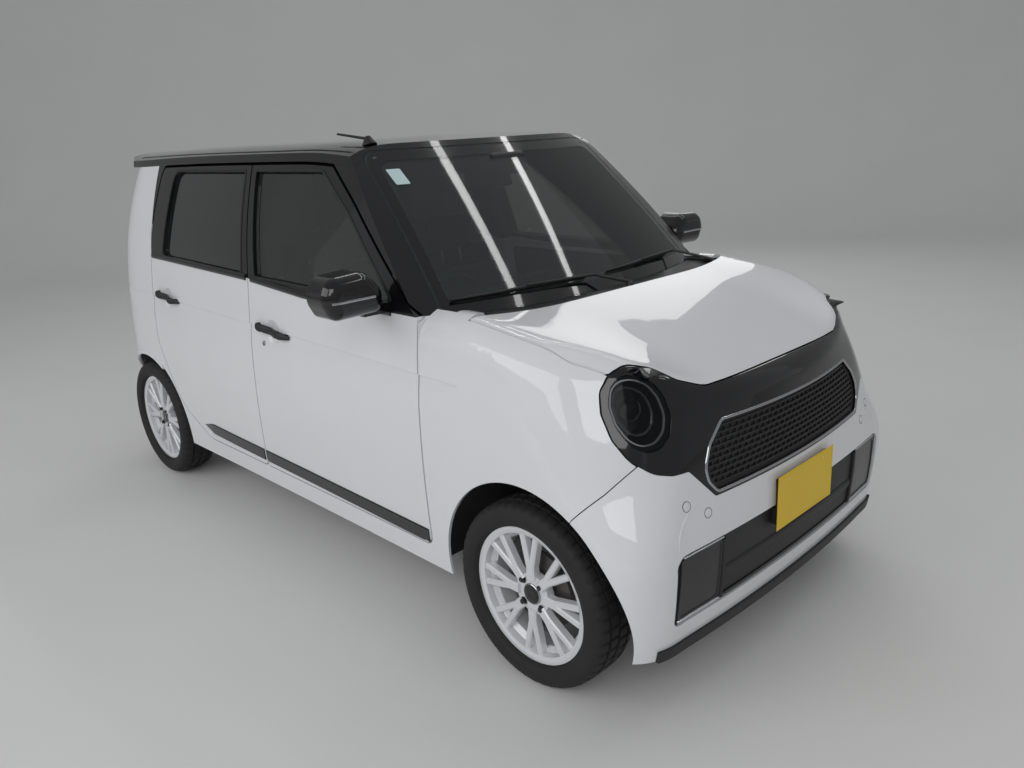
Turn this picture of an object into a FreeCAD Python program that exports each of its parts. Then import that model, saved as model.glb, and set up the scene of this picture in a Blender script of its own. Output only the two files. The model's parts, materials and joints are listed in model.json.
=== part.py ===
import FreeCAD, Part
import math
import os
from FreeCAD import Vector

# A small five-door hatchback in millimetres: +X forward, +Y to the car's left, +Z up.
# The origin is on the ground, midway between the bumpers and the sides.

# Overall sizes
OVERALL_LENGTH = 3395.0
OVERALL_WIDTH = 1475.0
ROOF_HEIGHT = 1545.0
WHEELBASE = 2520.0
FRONT_OVERHANG = 460.0
HALF_LENGTH = OVERALL_LENGTH / 2
HALF_WIDTH = OVERALL_WIDTH / 2
FRONT_AXLE_X = HALF_LENGTH - FRONT_OVERHANG
REAR_AXLE_X = FRONT_AXLE_X - WHEELBASE
PLATE_STANDOFF = 12.5
NOSE_X = HALF_LENGTH - PLATE_STANDOFF

# Clearances
SHUT_GAP = 6.0
FRAME_GAP = 10.0
SEAT_GAP = 0.3
RUNNING_GAP = 8.0

# Body skins
SIDE_SKIN = 45.0
FRAME_DEPTH = 62.0
DOOR_TRIM_DEPTH = 38.0
DOOR_TRIM_INSET = 60.0
FLANGE_WIDTH = 40.0
PANEL = 14.0
ROOF_PANEL = 24.0
GLASS = 5.0
GLASS_INSET = 14.0

# Side outline heights
SILL_BOTTOM_Z = 228.0
DOOR_BOTTOM_Z = 306.0
RAIL_TOP_Z = 1500.0
DOOR_TOP_Z = 1479.0
QUARTER_X = -1112.0
FENDER_REAR_X = 826.0

# Wheels
TYRE_RADIUS = 281.0
TYRE_WIDTH = 165.0
RIM_RADIUS = 208.0
BEAD_RADIUS = 190.5
WHEEL_Y = 652.5
RIM_WIDTH = 114.0
RIM_LIP = 5.0
HUB_RADIUS = 27.5
SPOKE_PAIRS = 8
BALL_JOINT_Y = 622.0
STRUT_TOP_Z = 622.0
FRONT_ARCH_RADIUS = 345.0
FRONT_ARCH_X = 1245.0
REAR_ARCH_RADIUS = 325.0
ARCH_Z = 283.0

# Number plate, 330 by 165, with two holes on its upper line
PLATE_LENGTH = 330.0
PLATE_HEIGHT = 165.0
PLATE_Z = 500.0
PLATE_HOLE_SPACING = 210.0
PLATE_HOLE_RADIUS = 3.5
PLATE_HOLE_RISE = 60.0
PLATE_THICKNESS = 1.2


def ease(t):
    """A smooth step from 0 to 1."""
    t = max(0.0, min(1.0, t))
    return t * t * (3 - 2 * t)


def round_meet(a, b, r):
    """Where two signed distances meet, rounded with radius r."""
    return min(max(a, b), -r) + math.hypot(max(a + r, 0), max(b + r, 0))


# The body's outer shape, as formulas


def half_width(x, z):
    """The side of the body: widest at the middle, drawn in above the waist and below it."""
    w = HALF_WIDTH
    if abs(x) < 1240:
        w -= 7 * (1 - (x / 1240) ** 2)
    if x < -1240:
        w -= 0.0002 * (x + 1240) ** 2
    if z < 620:
        w -= 0.000117 * (620 - z) ** 2
    else:
        w -= 0.000162 * (min(z, 1050) - 620) ** 2
    if z > 1050:
        w -= 0.139 * (z - 1050) + 0.000286 * (z - 1050) ** 2
    return w


def nose(y, z):
    """The front face: upright and flat across below, leaning and bowed back above."""
    bow = 0.00008 + 0.00012 * ease((z - 450) / 250) + 0.0002 * ease((z - 680) / 300)
    return NOSE_X - 0.0003 * (z - 500) ** 2 - bow * y * y


def nose_corner(z):
    return 130 + 130 * ease((z - 480) / 280)


def bonnet_top(x, y):
    """The bonnet and the crowns of the wings, which stand higher than its middle."""
    d = max(0.0, x - 1003)
    lift = 6 + 34 * ease((x - 1050) / 560)
    return 1045 - 0.12 * d - 0.000245 * d * d + lift * ease((abs(y) - 330) / 270)


def tail(y, z):
    """The back face: bumper, upright tailgate, and glass that leans forward."""
    lean = 26 * ease((z - 560) / 90) + 0.00030 * max(0.0, z - 900) ** 2
    return HALF_LENGTH - lean - 0.0007 * max(0.0, 400 - z) ** 2 - 0.00010 * y * y


def roof_top(x, y):
    fall = 0.00013 * max(0.0, x - 50) ** 2 + 0.000012 * max(0.0, -x - 500) ** 2
    roll = 0.005 * max(0.0, -x - 1530) ** 2
    return ROOF_HEIGHT - fall - roll - 0.00003 * y * y - 0.0012 * max(0.0, abs(y) - 430) ** 2


def screen_x(y, z):
    return 950 - 1.058 * (z - 1040) + 0.00025 * (z - 1040) * (1522 - z) - 0.00029 * y * y


def front_body(x, y, z):
    side = abs(y) - half_width(x, z)
    return round_meet(side, x - nose(y, z), nose_corner(z))


def wing_body(x, y, z):
    """The front with its top: broad round crowns at the sides, a tight edge along the front."""
    crown = 26 + 64 * ease((1560 - x) / 220)
    return round_meet(front_body(x, y, z), z - bonnet_top(x, y), crown)


def rear_body(x, y, z):
    side = abs(y) - half_width(x, z)
    return round_meet(side, -x - tail(y, z), 260)


def march(body, start, direction, reach):
    """The distance from start, inside the body, to its skin."""
    near, far = 0.0, reach
    for _ in range(42):
        mid = (near + far) / 2
        p = [s + mid * d for s, d in zip(start, direction)]
        if body(*p) < 0:
            near = mid
        else:
            far = mid
    return near


# Surfaces and slabs


def spread(low, high, count):
    return [low + (high - low) * i / (count - 1) for i in range(count)]


def surface(rows):
    s = Part.BSplineSurface()
    s.interpolate([[Vector(*p) for p in row] for row in rows])
    return s


def slab(point, us, vs, outer, inner):
    """The solid between a surface's insets outer and inner, where point(u, v, inset) gives the surface."""
    skins = [surface([[point(u, v, t) for v in vs] for u in us]) for t in (outer, inner)]
    faces = [s.toShape() for s in skins]
    (u0, u1, v0, v1), (a0, a1, b0, b1) = [s.bounds() for s in skins]
    edges = [
        (skins[0].uIso(u0), skins[1].uIso(a0)),
        (skins[0].uIso(u1), skins[1].uIso(a1)),
        (skins[0].vIso(v0), skins[1].vIso(b0)),
        (skins[0].vIso(v1), skins[1].vIso(b1)),
    ]
    for a, b in edges:
        faces.append(Part.makeRuledSurface(a.toShape(), b.toShape()))
    shell = Part.makeShell(faces)
    shell.sewShape()
    solid = Part.makeSolid(shell.Shells[0])
    if solid.Volume < 0:
        solid.reverse()
    return solid


def side_slab(xs, zs, outer, inner):
    """A slab of the car's right side."""
    return slab(lambda x, z, t: (x, -half_width(x, z) + t, z), xs, zs, outer, inner)


def ring_point(body, centre_x, heading, angle, z, inset):
    """A point of the skin that a level ray meets, seen in plan at an angle from the centre line."""
    a = math.radians(angle)
    d = (heading * math.cos(a), math.sin(a), 0.0)
    r = march(body, (centre_x, 0.0, z), d, 1200) - inset
    return (centre_x + r * d[0], r * d[1], z)


def even_steps(point, first, last, count):
    """Values of a curve's parameter that step evenly along it, where point(value) gives the curve."""
    fine = spread(first, last, 120)
    points = [Vector(*point(v)) for v in fine]
    run = [0.0]
    for p, q in zip(points, points[1:]):
        run.append(run[-1] + (q - p).Length)
    values = []
    for want in spread(0, run[-1], count):
        i = max(k for k in range(len(run)) if run[k] <= want + 1e-9)
        i = min(i, len(run) - 2)
        share = (want - run[i]) / (run[i + 1] - run[i])
        values.append(fine[i] + share * (fine[i + 1] - fine[i]))
    return values


def ring_slab(body, centre_x, heading, angles, zs, outer, inner):
    """A slab that goes round the front or the back."""

    def point(angle, z, t):
        return ring_point(body, centre_x, heading, angle, z, t)

    return slab(point, angles, zs, outer, inner)


FRONT_CENTRE_X = 1000.0
REAR_CENTRE_X = -1000.0
FRONT_ANGLES = even_steps(lambda a: ring_point(front_body, FRONT_CENTRE_X, 1, a, 620, 0), -66, 66, 33)
REAR_HALF_ANGLES = even_steps(lambda a: ring_point(rear_body, REAR_CENTRE_X, -1, a, 700, 0), 0, 97, 19)
REAR_ANGLES = [-a for a in REAR_HALF_ANGLES[:0:-1]] + REAR_HALF_ANGLES


def front_slab(zs, outer, inner):
    return ring_slab(front_body, FRONT_CENTRE_X, 1, FRONT_ANGLES, zs, outer, inner)


def rear_slab(angles, zs, outer, inner):
    return ring_slab(rear_body, REAR_CENTRE_X, -1, angles, zs, outer, inner)


# Outlines


def outline(corners):
    """A closed wire in a plane from (a, b, radius) corners, as lines joined by arcs, with c = 0."""
    count = len(corners)
    edges = []
    ends = []
    for i in range(count):
        a, b, r = corners[i]
        here = Vector(a, b, 0)
        back = Vector(corners[i - 1][0], corners[i - 1][1], 0) - here
        ahead = Vector(corners[(i + 1) % count][0], corners[(i + 1) % count][1], 0) - here
        if r <= 0:
            ends.append((here, here, None))
            continue
        half = back.getAngle(ahead) / 2
        cut = min(r / math.tan(half), 0.48 * back.Length, 0.48 * ahead.Length)
        r = cut * math.tan(half)
        back.normalize()
        ahead.normalize()
        middle = (back + ahead).normalize()
        arc_mid = here + middle * (r / math.sin(half) - r)
        ends.append((here + back * cut, here + ahead * cut, arc_mid))
    for i in range(count):
        first, last, mid = ends[i]
        if mid is not None:
            edges.append(Part.Arc(first, mid, last).toShape())
        following = ends[(i + 1) % count][0]
        if (following - last).Length > 1e-6:
            edges.append(Part.LineSegment(last, following).toShape())
    return Part.Wire(edges)


def prism(corners, axis, low, high, grow=0.0):
    """An outline pushed along an axis from low to high, grown all round where asked."""
    face = Part.Face(outline(corners))
    if grow:
        face = face.makeOffset2D(grow)
        if face.ShapeType != "Face":
            face = Part.Face(face.Wires[0]) if face.Wires else face
    if axis == "z":
        solid = face.extrude(Vector(0, 0, high - low))
        solid.translate(Vector(0, 0, low))
        return solid
    if axis == "y":
        solid = face.extrude(Vector(0, 0, high - low))
        solid.rotate(Vector(0, 0, 0), Vector(1, 0, 0), 90)
        solid.translate(Vector(0, high, 0))
        return solid
    solid = face.extrude(Vector(0, 0, high - low))
    solid.rotate(Vector(0, 0, 0), Vector(1, 0, 0), 90)
    solid.rotate(Vector(0, 0, 0), Vector(0, 0, 1), 90)
    solid.translate(Vector(low, 0, 0))
    return solid


def box(x0, x1, y0, y1, z0, z1):
    return Part.makeBox(x1 - x0, y1 - y0, z1 - z0, Vector(x0, y0, z0))


def cylinder(radius, start, direction, length):
    return Part.makeCylinder(radius, length, Vector(*start), Vector(*direction))


def mirrored(shape):
    return shape.mirror(Vector(0, 0, 0), Vector(0, 1, 0))


def both(shape):
    return Part.makeCompound([shape, mirrored(shape)])


def fuse(shapes):
    whole = shapes[0]
    for s in shapes[1:]:
        whole = whole.fuse(s)
    return whole.removeSplitter()
# Side outlines of the doors as (x, z, corner radius)

FRONT_DOOR = [
    (820, DOOR_BOTTOM_Z, 30),
    (818, 1030, 6),
    (440, 1352, 900),
    (262, DOOR_TOP_Z, 60),
    (-259, DOOR_TOP_Z, 12),
    (-212, 1064, 500),
    (-205, 820, 500),
    (-222, DOOR_BOTTOM_Z, 20),
]
REAR_DOOR = [
    (-228, DOOR_BOTTOM_Z, 20),
    (-211, 820, 500),
    (-218, 1064, 500),
    (-267, DOOR_TOP_Z, 12),
    (-1046, DOOR_TOP_Z, 70),
    (-1104, 1180, 200),
    (-1104, 700, 200),
    (-960, 420, 260),
    (-720, DOOR_BOTTOM_Z, 120),
]
FRONT_GLASS = [
    (700, 1062, 20),
    (430, 1310, 700),
    (232, 1448, 50),
    (-222, 1448, 12),
    (-165, 1072, 15),
]
REAR_GLASS = [
    (-270, 1072, 15),
    (-306, 1448, 12),
    (-925, 1448, 60),
    (-985, 1096, 30),
]
FRONT_APERTURE = [
    (765, 330, 60),
    (765, 1000, 30),
    (400, 1330, 900),
    (250, 1440, 60),
    (-200, 1440, 25),
    (-150, 1060, 500),
    (-145, 820, 500),
    (-160, 330, 50),
]
REAR_APERTURE = [
    (-285, 330, 50),
    (-268, 820, 500),
    (-275, 1060, 500),
    (-322, 1440, 25),
    (-1000, 1440, 80),
    (-1045, 1180, 200),
    (-1045, 730, 200),
    (-925, 500, 220),
    (-740, 345, 100),
]
# Middles of the handles, as (x, z)
FRONT_HANDLE = (-40, 884)
REAR_HANDLE = (-946, 917)
SIDE_LOW_Y = -900.0
SIDE_HIGH_Y = -300.0
SIDE_XS = spread(QUARTER_X, FENDER_REAR_X, 15)
DOOR_ZS = spread(260, RAIL_TOP_Z, 15)
SIDE_ZS = spread(SILL_BOTTOM_Z, RAIL_TOP_Z, 15)
FRAME_ABOVE_Z = 1150.0
JACK_PAD_Z = 222.0
JACK_XS = (700, -780)
HINGE_PAD = 28.0


def side_prism(corners, grow=0.0):
    return prism(corners, "y", SIDE_LOW_Y, SIDE_HIGH_Y, grow)


def above(z):
    return box(-1800, 1800, -900, 900, z, 1800)


def door_gap(corners):
    """What the skin round a door is cut with: the door's outline and its shut gap, wider round the frame."""
    wide = side_prism(corners, FRAME_GAP).common(above(FRAME_ABOVE_Z))
    return side_prism(corners, SHUT_GAP).fuse(wide)


def screen_solid(front_inset, back_inset, low, high, half):
    """A curved slab that leans along the windscreen."""

    def point(y, z, t):
        return (screen_x(y, z) - t, y, z)

    return slab(point, spread(-half, half, 11), spread(low, high, 9), front_inset, back_inset)


ROOF_XS = spread(-1900, 520, 19)
ROOF_YS = spread(-700, 700, 21)


def roof_layer(outer, inner):
    """A layer of the roof, wider and longer than the car; every layer has the same grid."""

    def point(x, y, t):
        return (x, y, roof_top(x, y) - t)

    return slab(point, ROOF_XS, ROOF_YS, outer, inner)


def roof_slab(outer, inner, x_from, x_to, half):
    return roof_layer(outer, inner).common(box(x_from, x_to, -half, half, 1200, 1700))


ROOF_REAR_X = -1392.0
ROOF_FRONT_X = 470.0
SCREEN_HIGH_Z = 1512.0
ahead_of_screen = screen_solid(-900, 0, 900, 1620, 760)
above_roof = roof_layer(-300, ROOF_PANEL + SEAT_GAP)


# Body sides

PRESS_DEPTH = 6.0
PRESS_FADE = 130.0
PRESS_FRONT_Z = 868.0
PRESS_REAR_Z = 912.0


def pressed_line():
    """What the pressed line takes off the sides: a ledge along its top that fades out below."""

    def line_z(x):
        share = (FENDER_REAR_X - x) / (FENDER_REAR_X - QUARTER_X)
        return PRESS_FRONT_Z + (PRESS_REAR_Z - PRESS_FRONT_Z) * share

    def point(x, drop, t):
        z = line_z(x) - drop
        depth = t if t < 0 else PRESS_DEPTH * (1 - drop / PRESS_FADE) ** 2 - 0.4
        return (x, -half_width(x, z) + depth, z)

    return slab(point, spread(-1420, 1000, 17), spread(0, PRESS_FADE, 12), -20, 1)


def body_side():
    skin = side_slab(SIDE_XS, SIDE_ZS, 0, SIDE_SKIN + RUNNING_GAP)
    for corners in (FRONT_DOOR, REAR_DOOR):
        skin = skin.cut(door_gap(corners))
    frame = side_slab(SIDE_XS, SIDE_ZS, SIDE_SKIN + RUNNING_GAP, SIDE_SKIN + RUNNING_GAP + FRAME_DEPTH)
    for corners in (FRONT_APERTURE, REAR_APERTURE):
        frame = frame.cut(side_prism(corners))
    pad_slab = side_slab(SIDE_XS, SIDE_ZS, SIDE_SKIN + SEAT_GAP, SIDE_SKIN + RUNNING_GAP + 4)
    pads = [
        pad_slab.common(box(x, x + HINGE_PAD, -900, 0, z, z + 2 * HINGE_PAD))
        for x in (782, -262)
        for z in (440, 840)
    ]
    whole = fuse([skin, frame] + pads)
    rear_arch = cylinder(REAR_ARCH_RADIUS + 16, (REAR_AXLE_X, SIDE_LOW_Y, ARCH_Z), (0, 1, 0), 600)
    front_arch = cylinder(FRONT_ARCH_RADIUS + 16, (FRONT_ARCH_X, SIDE_LOW_Y, ARCH_Z), (0, 1, 0), 600)
    whole = whole.cut(rear_arch).cut(front_arch)
    whole = fuse([whole] + [box(x - 35, x + 35, -665, -625, JACK_PAD_Z, SILL_BOTTOM_Z + 6) for x in JACK_XS])
    whole = whole.cut(ahead_of_screen).cut(above_roof)
    return whole.cut(screen_seat()).cut(pressed_line())


QUARTER_SKIN = 60.0
QUARTER_ZS = spread(SILL_BOTTOM_Z, RAIL_TOP_Z, 17)
TAILGATE = [
    (-520, 470, 60),
    (-560, 1010, 120),
    (-520, 1340, 80),
    (-470, 1560, 20),
    (470, 1560, 20),
    (520, 1340, 80),
    (560, 1010, 120),
    (520, 470, 60),
]
TAIL_LAMP = [
    (-655, 640, 40),
    (-665, 960, 60),
    (-575, 975, 40),
    (-560, 640, 40),
]
REAR_BUMPER_TOP_Z = 600.0
REAR_VIEW_LOW_X = -1900.0
REAR_VIEW_HIGH_X = -1200.0


def rear_prism(corners, grow=0.0):
    return prism(corners, "x", REAR_VIEW_LOW_X, REAR_VIEW_HIGH_X, grow)


def quarter_panel():
    angles = [a for a in REAR_ANGLES if a < -20]
    whole = rear_slab(angles, QUARTER_ZS, 0, QUARTER_SKIN)
    whole = whole.cut(box(QUARTER_X - SEAT_GAP, 0, -900, 900, 0, 1800)).cut(pressed_line())
    whole = whole.cut(rear_prism(TAILGATE, SHUT_GAP))
    whole = whole.cut(rear_prism(TAIL_LAMP, SEAT_GAP * 3))
    whole = whole.cut(box(-1800, -1150, -900, 900, 0, REAR_BUMPER_TOP_Z + 3))
    arch = cylinder(REAR_ARCH_RADIUS, (REAR_AXLE_X, SIDE_LOW_Y, ARCH_Z), (0, 1, 0), 600)
    return whole.cut(arch).cut(above_roof)


def largest(shape):
    return max(shape.Solids, key=lambda s: s.Volume)


def cabin_wall():
    """What the cabin's fittings are cut with at the body side's inner face."""
    inner = SIDE_SKIN + RUNNING_GAP + FRAME_DEPTH + SEAT_GAP
    return both(side_slab(spread(-1500, 900, 13), spread(150, 1600, 15), -200, inner))


def wheel_well(radius, x, y_inner):
    """The space a wheel turns in, both sides."""
    return both(cylinder(radius, (x, SIDE_LOW_Y, ARCH_Z), (0, 1, 0), -y_inner - SIDE_LOW_Y))


FRONT_WELL_RADIUS = FRONT_ARCH_RADIUS + 16
REAR_WELL_RADIUS = REAR_ARCH_RADIUS + 16
FRONT_WELL_Y = 400.0
REAR_WELL_Y = 545.0
LINER = 6.0
FLOOR_Z = 232.0
FLOOR = 14.0
LUGGAGE_Z = 470.0


def floor_pan():
    """Flat front floor, step up under the rear seat, luggage floor, as one folded plate."""
    top = [
        (795, 430, 0),
        (690, FLOOR_Z + FLOOR, 80),
        (-560, FLOOR_Z + FLOOR, 40),
        (-590, 400, 40),
        (-900, 400, 40),
        (-960, LUGGAGE_Z, 30),
        (-1640, LUGGAGE_Z, 0),
    ]
    low = [
        (-1640, LUGGAGE_Z - FLOOR, 0),
        (-952, LUGGAGE_Z - FLOOR, 30),
        (-892, 400 - FLOOR, 40),
        (-600, 400 - FLOOR, 40),
        (-570, FLOOR_Z, 40),
        (695, FLOOR_Z, 80),
        (806, 424, 0),
    ]
    pan = prism(top + low, "y", -640, 640)
    pan = pan.cut(cabin_wall())
    pan = pan.cut(wheel_well(FRONT_WELL_RADIUS, FRONT_ARCH_X, FRONT_WELL_Y))
    pan = pan.cut(rear_slab([a for a in REAR_ANGLES if abs(a) < 85], spread(300, 620, 7), -300, QUARTER_SKIN + SEAT_GAP))
    return largest(pan.cut(wheel_well(REAR_WELL_RADIUS, REAR_AXLE_X, REAR_WELL_Y - SEAT_GAP)))


FIREWALL_X = 806.0
FIREWALL = 12.0


def firewall():
    wall = box(FIREWALL_X, FIREWALL_X + FIREWALL, -640, 640, 424 + SEAT_GAP, 1008)
    wall = wall.cut(cabin_wall())
    return largest(wall.cut(wheel_well(FRONT_WELL_RADIUS, FRONT_ARCH_X, FRONT_WELL_Y)))


def wheel_houses():
    pieces = []
    for x, radius, y_inner in (
        (FRONT_ARCH_X, FRONT_WELL_RADIUS, FRONT_WELL_Y),
        (REAR_AXLE_X, REAR_WELL_RADIUS, REAR_WELL_Y),
    ):
        length = -y_inner - SIDE_LOW_Y
        tub = cylinder(radius - SEAT_GAP, (x, SIDE_LOW_Y, ARCH_Z), (0, 1, 0), length)
        tub = tub.cut(cylinder(radius - LINER, (x, SIDE_LOW_Y, ARCH_Z), (0, 1, 0), length - LINER))
        tub = tub.cut(box(-1800, 1800, -900, 900, 0, ARCH_Z))
        pieces.append(tub)
    return pieces


def front_house(shape):
    """Keep the front wheel house inside the wing and the bumper."""
    inset = PANEL + SEAT_GAP
    shape = shape.cut(side_slab(spread(850, 1700, 11), spread(200, 700, 9), -300, inset))
    return largest(shape.cut(front_slab(spread(200, 700, 9), -300, inset)))


def rear_house(shape):
    """Keep the rear wheel house inside the quarter panel, with a hole for the stub axle."""
    inset = QUARTER_SKIN + SEAT_GAP
    shape = shape.cut(side_slab(spread(-1700, -850, 11), spread(200, 700, 9), -300, inset))
    shape = shape.cut(rear_slab([a for a in REAR_ANGLES if abs(a) < 80], spread(200, 700, 9), -300, inset))
    return largest(shape.cut(cylinder(HUB_RADIUS + RUNNING_GAP, (REAR_AXLE_X, -900, TYRE_RADIUS), (0, 1, 0), 500)))


COWL_Z = 1008.0
COWL = 14.0


def bonnet_rear(y):
    return 1055 - 60 * (abs(y) / 651) ** 6


def cowl():
    plate = box(FIREWALL_X, 1040, -690, 690, COWL_Z + SEAT_GAP, COWL_Z + COWL)
    wing_side = both(side_slab(spread(760, 1100, 5), spread(950, 1080, 5), -200, 60))
    pieces = [plate.cut(wing_side).cut(cabin_wall().common(box(700, FENDER_REAR_X + 16, -900, 900, 900, 1100)))]
    under = bonnet_slab(-120, PANEL + SEAT_GAP)
    for y in (-500, 470):
        arm = box(1020, 1080, y, y + 30, COWL_Z + SEAT_GAP, COWL_Z + COWL)
        pad = box(1050, 1080, y, y + 30, COWL_Z + SEAT_GAP, 1060)
        pieces.append(arm.fuse(pad).cut(under))
    return largest(fuse(pieces))


SCREEN_OUTLINE = [
    (-632, COWL_Z + COWL + SEAT_GAP, 30),
    (-548, SCREEN_HIGH_Z - 6, 60),
    (548, SCREEN_HIGH_Z - 6, 60),
    (632, COWL_Z + COWL + SEAT_GAP, 30),
]
SCREEN_GLASS = 8.0


def screen_prism(grow):
    return prism(SCREEN_OUTLINE, "x", 200, 1300, grow)


def windscreen():
    return screen_solid(0, SCREEN_GLASS, 1000, 1560, 700).common(screen_prism(0))


def screen_seat():
    solid = screen_solid(-60, SCREEN_GLASS + SEAT_GAP, 990, 1590, 720)
    return solid.common(screen_prism(1.0))


def over_sides():
    return both(side_slab(spread(-1460, 560, 13), spread(1300, 1640, 9), -300, 0))


def roof():
    panel = roof_slab(0, ROOF_PANEL, ROOF_REAR_X, 520, 640)
    panel = panel.cut(over_sides()).cut(ahead_of_screen)
    low, high = ROOF_PANEL - 2, ROOF_PANEL + 24
    hinges = roof_slab(low, high, ROOF_REAR_X - SHUT_GAP + SEAT_GAP, ROOF_REAR_X + 40, 400)
    hinges = hinges.cut(box(-1500, -1300, -300, 300, 1300, 1600))
    return largest(fuse([largest(panel.cut(screen_seat())), hinges]))


# Front end

SURROUND_RIGHT = [
    (-375, 884, 90),
    (-450, 912, 60),
    (-492, 946, 60),
    (-545, 962, 60),
    (-592, 945, 60),
    (-622, 905, 60),
    (-637, 850, 60),
    (-640, 790, 60),
    (-625, 737, 60),
    (-590, 704, 60),
    (-545, 693, 50),
    (-498, 694, 10),
    (-416, 606, 16),
]
GRILLE_RIGHT = [
    (-350, 795, 30),
    (-410, 742, 60),
    (-436, 690, 60),
    (-430, 650, 40),
    (-402, 617, 24),
]
LENS_RIGHT = [
    (-552, 942, 60),
    (-520, 925, 60),
    (-502, 885, 60),
    (-502, 835, 60),
    (-522, 790, 60),
    (-557, 760, 60),
    (-592, 756, 60),
    (-616, 776, 60),
    (-626, 820, 60),
    (-621, 870, 60),
    (-604, 915, 60),
    (-582, 938, 60),
]


def symmetric(right):
    """A whole outline from its right half, listed from the top to the bottom."""
    return right + [(-y, z, r) for y, z, r in right[::-1]]


SURROUND = symmetric(SURROUND_RIGHT)
GRILLE = symmetric(GRILLE_RIGHT)
FRONT_ZS = spread(165, 1000, 18)
SEAM = 3.0
TIGHT_SEAM = 0.6


def front_prism(corners, grow=0.0):
    return prism(corners, "x", 1200, 1900, grow)


SURROUND_SKIN = 20.0
FACE_ZS = spread(560, 820, 8) + spread(840, 1000, 17)


def face_slab(zs, outer, inner):
    """A slab of the front face that rolls back over the crowns at its top."""
    return ring_slab(wing_body, FRONT_CENTRE_X, 1, FRONT_ANGLES, zs, outer, inner)


face_skin = face_slab(FACE_ZS, 0, SURROUND_SKIN)
WING_SIDE_SEAM = [
    (1405, 540, 0),
    (1430, 583, 0),
    (1504, 661, 60),
    (1563, 742, 40),
    (1563, 1200, 0),
]
BUMPER_SIDE = WING_SIDE_SEAM + [(1800, 1200, 0), (1800, 120, 0), (1405, 120, 0)]
BONNET_SIDE = [
    (1700, 0, 0),
    (1700, -430, 0),
    (1530, -560, 60),
    (1435, -594, 90),
    (1350, -632, 120),
    (1210, -653, 300),
    (900, -651, 0),
    (900, 0, 0),
]
LIP_TOP_Z = 230.0
LIP_BOTTOM_Z = 196.0
LIP_HALF_WIDTH = 632.0
LIP_OVERHANG = 10.0
BUMPER_BOTTOM_Z = 198.0
INTAKE = symmetric([(-570, 492, 40), (-592, 470, 20), (-590, 286, 24)])


BONNET_CORNER_X = 988.0


def plan_prism(corners, grow=0.0):
    return prism(corners, "z", 100, 1400, grow)


def bonnet_plan(grow=0.0):
    whole = BONNET_SIDE[1:-1] + [(x, -y, r) for x, y, r in BONNET_SIDE[-2:0:-1]]
    return plan_prism(whole, grow)


def front_arch_cut():
    return both(cylinder(FRONT_ARCH_RADIUS, (FRONT_ARCH_X, SIDE_LOW_Y, ARCH_Z), (0, 1, 0), 600))


def wing():
    """The right front wing: side, crown and the flange that meets the door pillar."""

    def point(x, angle, t):
        a = math.radians(angle)
        d = (0.0, -math.cos(a), math.sin(a))
        start = (x, -430.0, 740.0)
        r = march(wing_body, start, d, 700) - t
        return (x, start[1] + r * d[1], start[2] + r * d[2])

    xs = spread(FENDER_REAR_X + SEAT_GAP, 1566, 16)
    angles = even_steps(lambda a: point(1300, a, 0), -62, 62, 22)
    shell = slab(point, xs, angles, 0, PANEL)
    shell = shell.cut(box(0, 1800, -900, 0, 0, SILL_BOTTOM_Z))
    flange = side_slab(spread(800, 900, 4), spread(SILL_BOTTOM_Z, 1000, 10), PANEL, SIDE_SKIN + 40)
    flange = flange.common(box(FENDER_REAR_X + SEAT_GAP, FENDER_REAR_X + 14, -900, 0, 0, 1004))
    whole = shell.fuse(flange)
    whole = whole.cut(front_arch_cut()).cut(front_prism(SURROUND, SEAM))
    whole = whole.cut(prism(BUMPER_SIDE, "y", -900, 0, SEAM))
    whole = whole.cut(bonnet_plan(SHUT_GAP).common(box(BONNET_CORNER_X, 1800, -900, 900, 860, 1400)))
    glass_edge = screen_solid(-90, 60, 990, 1590, 720).common(screen_prism(SHUT_GAP))
    return largest(whole.cut(glass_edge).cut(pressed_line()))


def bonnet_slab(outer, inner):
    """The lid's skin follows the crowns and rolls down to the front."""
    ys = spread(-660, 660, 25)

    def front_edge(y):
        height = bonnet_top(1500, y) - 30
        return 1000 + march(front_body, (1000, y, height), (1, 0, 0), 700)

    edges = {y: front_edge(y) for y in ys}

    def point(share, y, t):
        back = bonnet_rear(y)
        x = back + share * (edges[y] - 6 - back)
        return (x, y, 700 + march(wing_body, (x, y, 700), (0, 0, 1), 500) - t)

    return slab(point, spread(0, 1, 17), ys, outer, inner)


BONNET_FRONT_SEAM = 3.0


def bonnet():
    lid = bonnet_slab(0, PANEL).common(bonnet_plan())
    return largest(lid.cut(front_prism(SURROUND, BONNET_FRONT_SEAM)))


def front_bumper():
    shell = front_slab(spread(165, 840, 15), 0, PANEL)
    shell = shell.cut(front_prism(SURROUND, TIGHT_SEAM)).cut(front_prism(INTAKE))
    shell = shell.cut(box(0, 1800, -LIP_HALF_WIDTH, LIP_HALF_WIDTH, 0, LIP_TOP_Z))
    shell = shell.cut(box(0, 1800, -900, 900, 0, BUMPER_BOTTOM_Z))
    side = prism(BUMPER_SIDE, "y", -900, 900)
    return largest(shell.common(side).cut(front_arch_cut()))


def front_lip():
    lip = front_slab(spread(130, 260, 5), -LIP_OVERHANG, 26)
    half = LIP_HALF_WIDTH - SEAT_GAP
    lip = lip.common(box(1500, 1800, -half, half, LIP_BOTTOM_Z, LIP_TOP_Z - SEAT_GAP))
    return largest(lip.cut(front_arch_cut()))


def lower_grille():
    """The black lower panel, with the block that carries the number plate."""
    panel = largest(front_slab(spread(230, 530, 7), 10, 24).common(front_prism(INTAKE, -SEAT_GAP)))
    low = box(1660, HALF_LENGTH - PLATE_THICKNESS - SEAT_GAP, -150, 150, 430, 480)
    high = box(1660, HALF_LENGTH - PLATE_THICKNESS - SEAT_GAP, -150, 150, 430, 570)
    high = high.cut(front_slab(spread(380, 620, 7), -SEAT_GAP, 150))
    return largest(fuse([panel, low, high]))


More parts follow.
